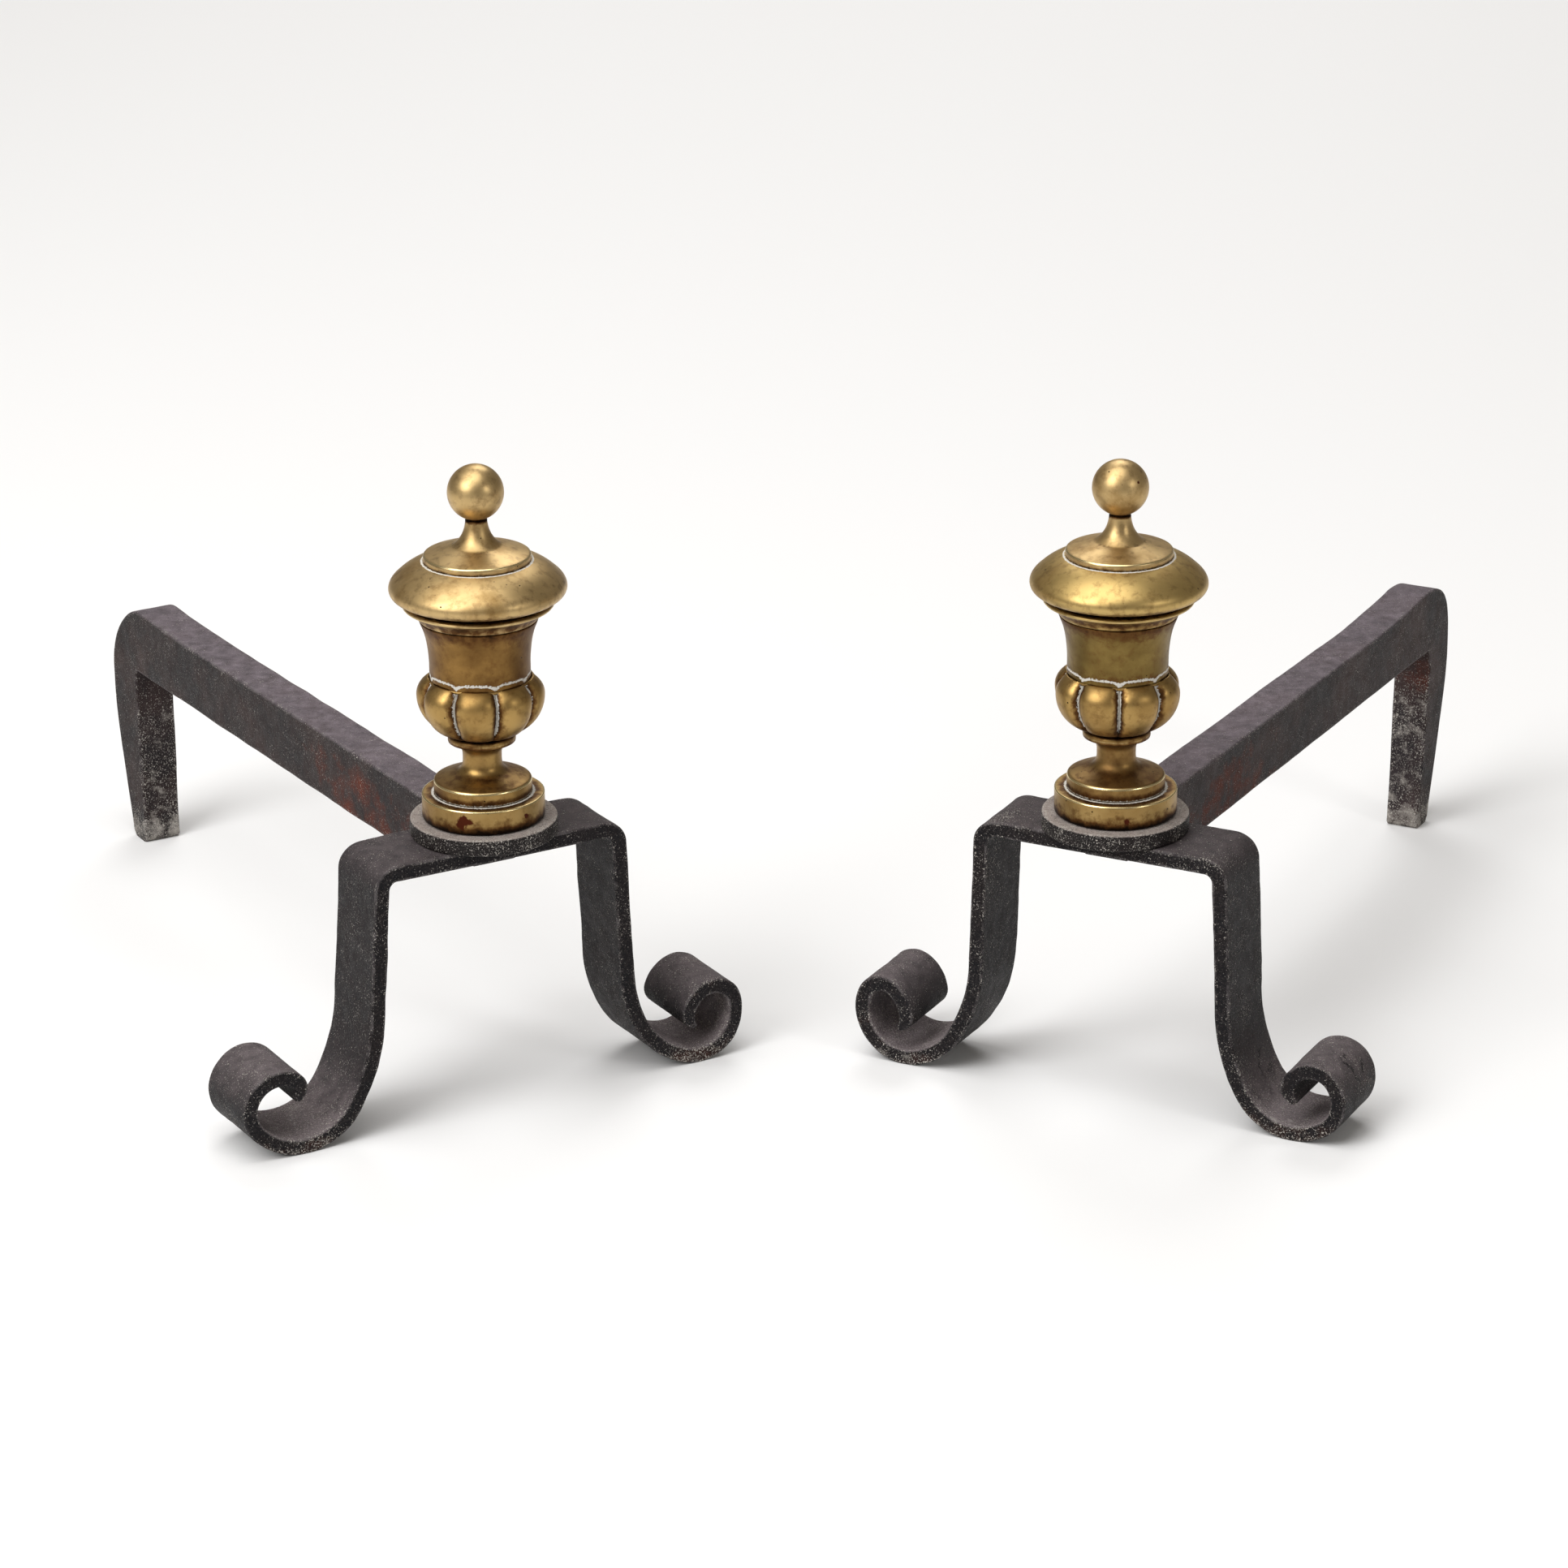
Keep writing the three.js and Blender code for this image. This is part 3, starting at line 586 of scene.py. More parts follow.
pedestal = {
    "slot": "pedestal_brass",
    "closed": True,
    "rounding": 0.4,
    "outside": [
        [12, 0], [25.2, 0], [25.2, 6.6], [24.5, 7.3], [15.2, 10.4], [10, 11.9, 10, 17.4], [10, 20.4],
        [10, 26.1, 17.4, 27.6], [17.4, 30.5], [16, 31.7], [10, 31.7],
    ],
    "inside": [[bore, 31.7], [bore, 0]],
    "rubAndHighlight": [[25.1, 6.7, 0.7, 1.0], [17.4, 29, 0.9, 0.5]],
    "tarnishAndShade": [
        [25.2, 1.5, 2.2, 0.8], [17, 27, 3.5, 0.8], [15, 10.5, 4, 0.55], [21, 8.5, 3, 0.45],
        [16, 31.7, 2.0, 1.0],
    ],
    "residue": [[25.2, 0, 0.8, 0.8]],
}
bell = {
    "slot": "bell_brass",
    "closed": True,
    "rounding": 0.3,
    "outside": [
        [22.4, 0], [25.8, 0], [25.8, 9.8], [26.4, 23.4, 29.6, 30.1], [30.5, 32.7], [26.5, 32.7],
    ],
    "inside": [[24.5, 27], [23, 20], [22.4, 9.8]],
    "tarnishAndShade": [[30, 32, 7.0, 0.75], [25.8, 4, 3.5, 0.5]],
    "lobeLine": {
        "height": 4.3, "drop": 2.2, "width": 0.75, "thickening": 1.2, "strength": 0.95, "minRadius": 25,
    },
}
rimBulb = {
    "slot": "rim_brass",
    "closed": True,
    "rounding": 0.3,
    "outside": [
        [27.3, 0], [30.5, 0], [31.6, 4.9, 38.0, 6.5], [38.6, 6.9], [38.6, 7.8], [38.1, 8.3], [35.3, 8.9],
        [34.9, 9.8], [35.3, 10.8], [40.6, 11.4], [45.0, 12.3, 45.3, 16.0], [45.3, 19.4, 41.3, 22.6],
        [36.2, 27.6, 28.1, 30.4], [24.2, 30.4],
    ],
    "inside": [[24.2, 26.8], [34, 24], [41.3, 16.4], [36.5, 13.6], [31, 12], [27.3, 8]],
    "tarnishAndShade": [[32, 3, 4.5, 0.75], [35.2, 9.8, 2.2, 1.2], [40, 11.4, 2.6, 0.9], [43.5, 12.8, 2.0, 0.5]],
    "rubAndHighlight": [[38.5, 7.3, 0.6, 0.6]],
    "residue": [[28.1, 30.4, 0.7, 0.95]],
    "stains": [["right", 34, 22.5, 1.6, 0.45], ["left", -30, 24, 0.9, 0.6]],
}
lid = {
    "slot": "lid_brass",
    "closed": True,
    "seatRise": 3.0,
    "rounding": 0.3,
    "outside": [
        [23.8, 0], [27.4, 0], [27.4, 2.6], [26.9, 3.1], [12.7, 7.5], [6.5, 11.7, 5.6, 20.3],
        [5.6, 21.3], [4.9, 21.3],
    ],
    "inside": [[bore, 21.3], [bore, 4.5], [20.8, 0.1], [20.8, -3], [23.8, -3]],
    "tarnishAndShade": [[5.6, 21.3, 1.5, 1.0], [27.4, 0, 0.9, 0.7], [12.7, 7.5, 2.0, 0.3]],
    "rubAndHighlight": [[27.1, 3.0, 0.6, 1.0]],
    "residue": [[27.4, 0, 0.5, 0.7]],
}
ballSize = {
    "radius": 14.4,
    "stub": 0.6,
    "stubRadius": 5.6,
    "grip": 8.0,
    "topDegrees": 89.4,
    "steps": 56,
}


def ballProfile():  # a circle about the height where the stub meets it: r = R cos a, h = centre + R sin a
    radius, stub, stubRadius = ballSize["radius"], ballSize["stub"], ballSize["stubRadius"]
    centre = stub + math.sqrt(radius ** 2 - stubRadius ** 2)
    start = -math.acos(stubRadius / radius)
    angle = np.linspace(start, math.radians(ballSize["topDegrees"]), ballSize["steps"])
    circle = np.stack([radius * np.cos(angle), centre + radius * np.sin(angle)], axis=-1)
    return [[bore, ballSize["grip"]], [bore, 0], [stubRadius, 0], *circle.tolist()]


ballFinial = {
    "slot": "ball_brass",
    "closed": False,
    "rounding": 0.25,
    "outside": ballProfile(),
    "inside": [],
    "tarnishAndShade": [[5.6, 0.3, 2.2, 1.0]],
    "stains": [["right", 38, 19.5, 1.0, 1.0]],
}

lobedBowl = {
    "slot": "bowl_brass",
    "height": 32.6,
    "seatRadius": 15.7,
    "waistHeight": 20.8,
    "waistRadius": 32.8,
    "lowerCentre": 13.0,
    "shoulder": 8.0,
    "rimRadius": 26.1,
    "lip": 0.7,
    "wall": 3.6,
    "rebate": [2.6, 4.0],  # mm below the rim
    "innerWaist": 20.0,
    "lobes": 8,
    "grooveDepth": 6.2,
    "sideFullness": 2.6,
    "archFrom": 0.66,  # share of the height
    "archOver": 0.34,
    "archDrop": 1.0,
    "fadeAtSeat": 4.5,
    "fadeAtRim": 6.5,
    "leftAtRim": 0.12,
    "scallop": 2.2,
    "stepsAcross": 30,
    "stepsUp": 56,
    "curveSteps": [60, 40],
    "residueWidth": 0.95,  # mm to each side of a groove
    "forkHeight": 3.5,  # mm below the rim over which the line in a groove widens
    "forkWidening": 1.5,
    "rimLine": 0.7,
    "shadeWidth": 3.4,  # times the residue's width
    "seatShade": 0.16,  # share of the height
    "strength": {"groove": 0.9, "rimLine": 0.8, "shade": 0.95, "seat": 0.9},
}


def makeBowl(side, material):
    s = lobedBowl
    upperCentre = s["rimRadius"] - s["shoulder"]
    # Outside profile: two quarter-ellipses that meet at the waist, r = centre + reach cos a, and a height that
    # changes as sin a.
    lowSteps, highSteps = s["curveSteps"]
    lowReach, highReach = s["waistRadius"] - s["lowerCentre"], s["waistRadius"] - upperCentre
    low = np.linspace(-math.acos((s["seatRadius"] - s["lowerCentre"]) / lowReach), 0, lowSteps)
    high = np.linspace(0, math.acos((s["rimRadius"] + s["lip"] - upperCentre) / highReach), highSteps)
    lowRadius = s["lowerCentre"] + lowReach * np.cos(low)
    lowHeight = s["waistHeight"] * (1 + np.sin(low))
    highRadius = upperCentre + highReach * np.cos(high)
    highHeight = s["waistHeight"] + (s["height"] - s["waistHeight"]) * np.sin(high)
    outline = np.stack([np.r_[lowRadius, highRadius[1:]], np.r_[lowHeight, highHeight[1:]]], axis=-1)
    profile = resampled(outline, np.hypot(*np.diff(outline, axis=0).T).sum() / s["stepsUp"])
    rebateTop, rebateFloor = (s["height"] - drop for drop in s["rebate"])
    inner = np.array([
        [s["rimRadius"] + 0.1, rebateTop], [s["rimRadius"], rebateFloor],
        [s["rimRadius"] - s["wall"], rebateFloor], [s["innerWaist"], s["waistHeight"] / 2],
        [s["seatRadius"] - s["wall"], s["wall"]], [bore, s["wall"]], [bore, 0],
    ])
    rings = np.concatenate([profile, inner])
    # Across one lobe a runs from -1 to 1, crowded towards the grooves: a = sin(pi u / 2).
    u = np.linspace(-1, 1, s["stepsAcross"], endpoint=False) + 1 / s["stepsAcross"]
    a = np.tile(np.sin(u * math.pi / 2), s["lobes"])[None, :]
    lobe = np.repeat(np.arange(s["lobes"]), s["stepsAcross"])[None, :]
    angle = math.radians(stance[side]["bowlTurn"]) + (lobe + 0.5 + a / 2) * 2 * math.pi / s["lobes"]
    radius, height = rings[:, 0][:, None], rings[:, 1][:, None]
    belowRim = s["height"] - height
    outer = (np.arange(len(rings)) < len(profile))[:, None]
    level = height / s["height"]
    # A lobe's side is a rounded pillow: inset = depth (1 - (1 - |a|^p)^(1/2)), dying out at the seat and the
    # rim. Its top is an arch, because p falls towards the rim, and its edge dips at the grooves by
    # scallop |a|^5.
    fullness = s["sideFullness"] - s["archDrop"] * np.clip((level - s["archFrom"]) / s["archOver"], 0, 1) ** 2
    pillow = 1 - np.sqrt(1 - np.abs(a) ** fullness)
    fade = np.clip(level * s["fadeAtSeat"], 0, 1) * np.clip((1 - level) * s["fadeAtRim"], s["leftAtRim"], 1)
    radius = radius - outer * s["grooveDepth"] * pillow * fade
    above = np.clip((height - s["waistHeight"]) / (s["height"] - s["waistHeight"]), 0, 1)
    height = height - outer * s["scallop"] * np.abs(a) ** 5 * above ** 2
    x, y = radius * np.sin(angle), -radius * np.cos(angle)
    grid = np.stack([x, y, seatOf(side + "_lobed_bowl") + height + 0 * x], axis=-1)
    toGroove = (1 - np.abs(a)) * radius * math.pi / s["lobes"]
    fork = s["residueWidth"] * (1 + s["forkWidening"] * np.exp(-((belowRim / s["forkHeight"]) ** 2)))
    groove = np.exp(-((toGroove / fork) ** 2)) * np.clip((level - 0.1) * 8, 0, 1)  # none on the lowest tenth
    rimLine = np.exp(-((belowRim / s["rimLine"]) ** 2))
    # Painted shade: the tarnish mark is made darkest along the grooves between the lobes and at the seat of the
    # bowl.
    shade = np.exp(-((toGroove / (s["shadeWidth"] * s["residueWidth"])) ** 2))
    seatShade = np.exp(-((level / s["seatShade"]) ** 2))
    strength = s["strength"]
    marks = {
        "residue": outer * np.maximum(groove * strength["groove"], rimLine * strength["rimLine"]),
        "tarnishAndShade": outer * np.maximum(shade * strength["shade"], seatShade * strength["seat"]),
        "rubAndHighlight": 0 * toGroove,
        "stain": 0 * toGroove,
        "lathe": lengthAlong(rings)[:, None],
    }
    piece = gridMesh(side + "_gadrooned_bowl", side, grid, True, marks)
    finishPiece(piece, side, "lobed_bowl", material)


section = {"arcSteps": 5, "sideSteps": 9, "edgeMark": 0.8}  # edgeMark: mm over which the mark of a worn edge, partly a painted highlight, fades


def sectionLoop():
    # A rounded rectangle as a template: for each point the corner it starts from and the next one, the angle on
    # each corner's arc, and the share of the way between them (0 on an arc).
    arcSteps, sideSteps = section["arcSteps"], section["sideSteps"]
    corners = np.array([[1, 1], [-1, 1], [-1, -1], [1, -1]], float)
    parts = []
    for k in range(4):
        angles = math.pi / 2 * k + np.linspace(0, math.pi / 2, arcSteps)
        arc = np.stack([np.full(arcSteps, k), np.full(arcSteps, k), angles, np.zeros(arcSteps)], axis=-1)
        share = np.linspace(0, 1, sideSteps + 2)[1:-1]
        share = (1 - np.cos(share * math.pi)) / 2
        end = np.full(sideSteps, angles[-1])
        way = np.stack([np.full(sideSteps, k), np.full(sideSteps, (k + 1) % 4), end, share], axis=-1)
        parts += [arc, way]
    loop = np.concatenate(parts)
    return corners[loop[:, 0].astype(int)], corners[loop[:, 1].astype(int)], loop[:, 2], loop[:, 3]


def sectionPoints(halfP, halfQ, radius):
    # Rows x points of p and q, their normals, and nearness to an edge. On an arc the point is the corner's
    # centre plus radius (cos, sin); on a side it is a straight mix of the ends of two arcs.
    fromCorner, toCorner, angle, share = sectionLoop()
    halfP, halfQ, radius = (np.asarray(v, float).reshape(-1, 1) for v in (halfP, halfQ, radius))

    def onArc(corner):
        p = corner[:, 0] * (halfP - radius) + radius * np.cos(angle)
        q = corner[:, 1] * (halfQ - radius) + radius * np.sin(angle)
        return p, q
    p0, q0 = onArc(fromCorner)
    p1, q1 = onArc(toCorner)
    p = p0 + (p1 - p0) * share
    q = q0 + (q1 - q0) * share
    length = np.hypot(p1 - p0, q1 - q0)
    near = np.exp(-((np.minimum(share, 1 - share) * length / section["edgeMark"]) ** 2))
    return p, q, np.cos(angle), np.sin(angle), near


hammering = {"sines": 8, "shortest": 0.6, "longest": 1.8}  # lengths in shares of waveMm


def hammered(points, seed, waveMm):  # about 0 to 1: 0.5 + the mean of sine waves in random directions
    random = np.random.default_rng(seed)
    waves = random.normal(size=(hammering["sines"], 3))
    spread = random.uniform(hammering["shortest"], hammering["longest"], (hammering["sines"], 1))
    waves *= 2 * math.pi / (waveMm * spread * np.linalg.norm(waves, axis=1, keepdims=True))
    phase = random.uniform(0, 2 * math.pi, hammering["sines"])
    return 0.5 + np.sin(points @ waves.T + phase).mean(axis=-1)


def upward(grid):  # how far each face looks up, from the cross product of the two directions of the grid
    alongRows = np.gradient(grid, axis=0)
    around = np.roll(grid, -1, axis=1) - np.roll(grid, 1, axis=1)
    normal = np.cross(around, alongRows)
    normal /= np.linalg.norm(normal, axis=-1, keepdims=True) + 1e-9
    outwards = np.sign((normal * (grid - grid.mean(axis=1, keepdims=True))).sum())
    return np.clip(normal[..., 2] * outwards, 0, 1)


def blobs(grid, places):  # soft marks round [x, y, z] places: strength exp(-(distance/width)^2)
    mark = np.zeros(grid.shape[:2])
    for x, y, z, width, strength in places:
        distance = np.linalg.norm(grid - np.array([x, y, z], float), axis=-1)
        mark = np.maximum(mark, strength * np.exp(-((distance / width) ** 2)))
    return mark


legStrap = {
    "slot": "strap_iron",
    "width": 44.5,
    "thickness": 8.8,
    "bendRadius": 9.0,  # middle line of the two upper bends
    "edge": 1.3,
    "edgeShare": 0.9,  # an edge takes at most this share of half the thickness
    "wear": 0.4,
    "tipThickness": 2.6,
    "tipTaper": 12.0,
    "tipCurl": {"radius": 11.0, "turn": 40},  # the last of each scroll
    "stepMm": 1.5,
    "stepDegrees": 6,
    "unevenness": 0.5,
    "waveMm": 30.0,
    "ripple": {"share": 0.35, "finer": 4},
    "tipDent": 0.2,
    "seat": {"half": 46, "calm": 0.8},  # the flat under the disc is almost even
    "seeds": {"left": 11, "right": 12, "ripple": 13},
    # Where the marks of a scroll lie: mm along the strap from its tip, and mm above the floor.
    "scroll": {"from": 145, "over": 45, "tipFree": 20, "innerOver": 30, "lowTop": 14, "lowOver": 8,
               "dustTop": 62, "dustOver": 40},
    "dustAndSheen": {"level": 0.75, "scroll": 0.5, "inner": 1.5},
    "rust": {"scroll": 0.22, "lowFront": 0.3, "inner": 0.12},
    "ash": {"scroll": 0.12, "lowFront": 0.5, "inner": 0.3},
    "splashes": {  # dried lime, [x, y, z, width, strength]
        "left": [[-70, -4, 146, 7, 0.42]],
        "right": [[-56, -11, 146, 8, 0.75], [-72, -20, 120, 16, 0.35], [60, -18, 146, 12, 0.4]],
    },
    "splits": {  # short forging cracks
        "left": [[97, 14, 55, 9, 1.0]],
        "right": [[85, 5, 29, 9, 1.0], [138, 0, 38, 12, 1.0]],
    },
    "feet": {  # arcs: [radius, turn in degrees], from the leg to the tip
        "left": {
            "left": {"halfSpan": 72.6, "lean": 3.8, "arcs": [[98, 27], [33.9, 110], [16.7, 154], [9.7, 52]]},
            "right": {"halfSpan": 70.8, "lean": 2.7,
                      "arcs": [[68.6, 27], [46, 44], [22.2, 117], [13.4, 110], [17, 56]]},
        },
        "right": {
            "left": {"halfSpan": 70.3, "lean": 1.8,
                     "arcs": [[80.5, 33], [35.1, 47], [24.1, 118], [10.7, 109], [20.6, 53]]},
            "right": {"halfSpan": 71.4, "lean": 2.5, "arcs": [[93, 26], [31.8, 94], [17.4, 95], [13.6, 145]]},
        },
    },
}


def walked(startX, startZ, moves):
    # A flat line from [length, turn in radians] moves, cut in even steps: the heading is the running sum of the
    # turns, and the place is the running sum of step x (cos, sin) of the heading at mid-step.
    lengths, turns = [], []
    for length, turn in moves:
        bySize = math.ceil(length / legStrap["stepMm"])
        byTurn = math.ceil(abs(math.degrees(turn)) / legStrap["stepDegrees"])
        steps = max(1, bySize, byTurn)
        lengths.append(np.full(steps, length / steps))
        turns.append(np.full(steps, turn / steps))
    step, bend = np.concatenate(lengths), np.concatenate(turns)
    heading = np.concatenate([[0], np.cumsum(bend)])
    middle = heading[:-1] + bend / 2
    x = startX + np.concatenate([[0], np.cumsum(step * np.cos(middle))])
    z = startZ + np.concatenate([[0], np.cumsum(step * np.sin(middle))])
    return x, z, heading, np.concatenate([[0], np.cumsum(step)])


def footLine(foot, top):
    # Half the strap's middle line: straight, bent down by 90 degrees less the lean, down the leg, and round the
    # scroll's arcs. The leg is as long as it takes for the scroll to touch the floor.
    s = legStrap
    half = s["thickness"] / 2
    lean = math.radians(foot["lean"])
    bend = math.pi / 2 - lean
    cornerAt = foot["halfSpan"] - half + half * math.tan(lean)
    straight = cornerAt - s["bendRadius"] * math.tan(bend / 2)
    corner = [s["bendRadius"] * bend, -bend]
    arcs = [*foot["arcs"], [s["tipCurl"]["radius"], s["tipCurl"]["turn"]]]
    scroll = [[radius * math.radians(turn), math.radians(turn)] for radius, turn in arcs]
    start = top - half
    lowest = walked(0, start, [[straight, 0], corner, *scroll])[1].min()
    leg = (lowest - half + s["wear"]) / math.cos(lean)
    return walked(0, start, [[straight, 0], corner, [leg, 0], *scroll])


def makeStrap(side, material):
    # A rounded rectangle carried along the walked line: x = X - p sin(heading), y = q, z = Z + p cos(heading).
    s = legStrap
    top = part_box(side + "_leg_strap")[1].z / mm
    lines = {foot: footLine(values, top) for foot, values in s["feet"][side].items()}
    x, z, heading = (
        np.concatenate([sign * lines["left"][k][:0:-1], lines["right"][k]])
        for k, sign in enumerate([-1, 1, -1])
    )
    toTip = {foot: line[3][-1] - line[3] for foot, line in lines.items()}
    fromTip = np.concatenate([toTip["left"][:0:-1], toTip["right"]])
    thin = np.sin(np.clip(fromTip / s["tipTaper"], 0, 1) * math.pi / 2)
    halfP = (s["tipThickness"] + (s["thickness"] - s["tipThickness"]) * thin) / 2
    inwards = (s["thickness"] / 2 - halfP)[:, None]  # the outer face is the one that falls away at the tip
    radius = np.minimum(s["edge"], halfP * s["edgeShare"])
    # The ends are rounded off: both half sizes shrink by r - sqrt(r^2 - (r - d)^2), d from the tip.
    d = np.minimum(fromTip, radius)
    shrink = radius - np.sqrt(np.maximum(radius ** 2 - (radius - d) ** 2, 0))
    halfQ = s["width"] / 2 - shrink
    halfP = halfP - shrink * s["edgeShare"]
    p, q, normalP, normalQ, near = sectionPoints(halfP, halfQ, np.minimum(radius, halfP * s["edgeShare"]))

    def carried(p, q):
        p = p + inwards
        sine, cosine = np.sin(heading)[:, None], np.cos(heading)[:, None]
        return np.stack([x[:, None] - p * sine, q, z[:, None] + p * cosine], axis=-1)
    grid = carried(p, q)
    big = s["unevenness"] * hammered(grid, s["seeds"][side], s["waveMm"])
    big = big * np.clip(thin, s["tipDent"], 1)[:, None]
    fine = hammered(grid, s["seeds"]["ripple"], s["waveMm"] / s["ripple"]["finer"])
    fine = s["unevenness"] * s["ripple"]["share"] * fine
    seatHere = np.exp(-((np.abs(x) / s["seat"]["half"]) ** 8))[:, None]
    dent = (big + fine) * (1 - s["seat"]["calm"] * seatHere)
    grid = carried(p - dent * normalP, q - dent * normalQ)
    grid[..., 2] = np.maximum(grid[..., 2], 0)
    at = s["scroll"]
    height = grid[..., 2]
    scroll = np.clip((at["from"] - fromTip) / at["over"], 0, 1)[:, None]
    pastTip = np.clip((fromTip - at["tipFree"]) / at["innerOver"], 0, 1)[:, None]
    inner = scroll * np.clip(normalP, 0, 1) * pastTip
    lowFront = scroll * np.clip(-normalQ, 0, 1) * np.clip((at["lowTop"] - height) / at["lowOver"], 0, 1)
    inBowl = inner * np.clip((at["dustTop"] - height) / at["dustOver"], 0, 1)
    up = upward(grid)
    dustAndSheen, rust, ash = s["dustAndSheen"], s["rust"], s["ash"]
    ashes = np.maximum(ash["lowFront"] * lowFront, blobs(grid, s["splashes"][side]))
    # The dust mark is partly a painted sheen that lightens the faces that look up; the edge mark is partly a
    # painted highlight.
    marks = {
        "edge": near + 0 * height,
        "dustAndSheen": up * (dustAndSheen["level"] + dustAndSheen["scroll"] * scroll) + dustAndSheen["inner"] * inBowl,
        "rust": rust["scroll"] * scroll + rust["lowFront"] * lowFront + rust["inner"] * inner,
        "ash": np.maximum(ash["scroll"] * scroll * up + ash["inner"] * inner, ashes),
        "split": blobs(grid, s["splits"][side]),
    }
    piece = gridMesh(side + "_forged_leg_strap", side, grid, False, marks)
    finishPiece(piece, side, "leg_strap", material)


billetBar = {
    "slot": "bar_iron",
    "width": 25.0,
    "edge": 1.6,
    "edgeShare": 0.45,  # an edge takes at most this share of half the depth
    "endShare": 0.9,
    "tongueBottom": 132.3,
    "tongueTop": 137.0,
    "tongueReach": 10.5,
    "tongueLip": 0.6,
    "front": 22.55,
    "shelf": 146.1,
    "stepAt": 39.2,
    "throat": 38.0,
    "throatCurve": 12.0,
    "topFront": 152.1,
    "topFall": 8.0,
    "topRun": 300.0,
    "length": 454.0,
    "cornerRadius": 42.0,
    "innerRadius": 5.0,
    "calfHeight": 62.0,
    "heelHeight": 38.0,
    "heelSwell": 6.0,
    "heelEdge": 3.0,
    "toeEdge": 2.0,
    "footThickness": 18.5,
    "stations": {"throat": 40, "tongue": 12, "shelf": 8, "crown": 31, "corner": 27, "leg": 47},
    "stepGaps": [0.3, 0.4],  # mm between the step and the nearest stations of the shelf and of the top
    "stepMm": 2.2,
    "unevenness": 0.5,
    "waveMm": 42.0,
    "ripple": {"share": 0.18, "finer": 5},
    "dentOver": 6,  # mm behind the step over which the hammering sets in
    "seeds": {"left": 21, "right": 22, "ripple": 23},
    # Where the marks lie, in mm: the leg from its foot up, the stretch that was in the fire, and the bend.
    "leg": {"behind": 300, "top": 100, "over": 20, "footTop": 26, "footOver": 18, "footAsh": 0.85},
    "fire": {"at": 120, "width": 75, "top": 150, "over": 12, "rust": 0.6},
    "bend": {"y": 424, "z": 92, "widthY": 12, "widthZ": 16},
    "forging": {
        "left": {
            "crown": 0, "squareness": 0.45, "depthFront": 38.3, "depthBack": 38, "legTop": 32, "legLean": 3,
            "footWidth": 22.5, "bendRust": 0.2, "legAsh": 0.5,
        },
        "right": {
            "crown": 2.5, "squareness": 0.75, "depthFront": 37.2, "depthBack": 35.4, "legTop": 28,
            "legLean": 9.5, "footWidth": 19.5, "bendRust": 0.5, "legAsh": 0.58,
        },
    },
}


def cubic(a, b, c, d, steps):  # (1-t)^3 a + 3t(1-t)^2 b + 3t^2(1-t) c + t^3 d
    t = np.linspace(0, 1, steps)[:, None]
    a, b, c, d = (np.array(p, float) for p in (a, b, c, d))
    return (1 - t) ** 3 * a + 3 * t * (1 - t) ** 2 * b + 3 * t ** 2 * (1 - t) * c + t ** 3 * d


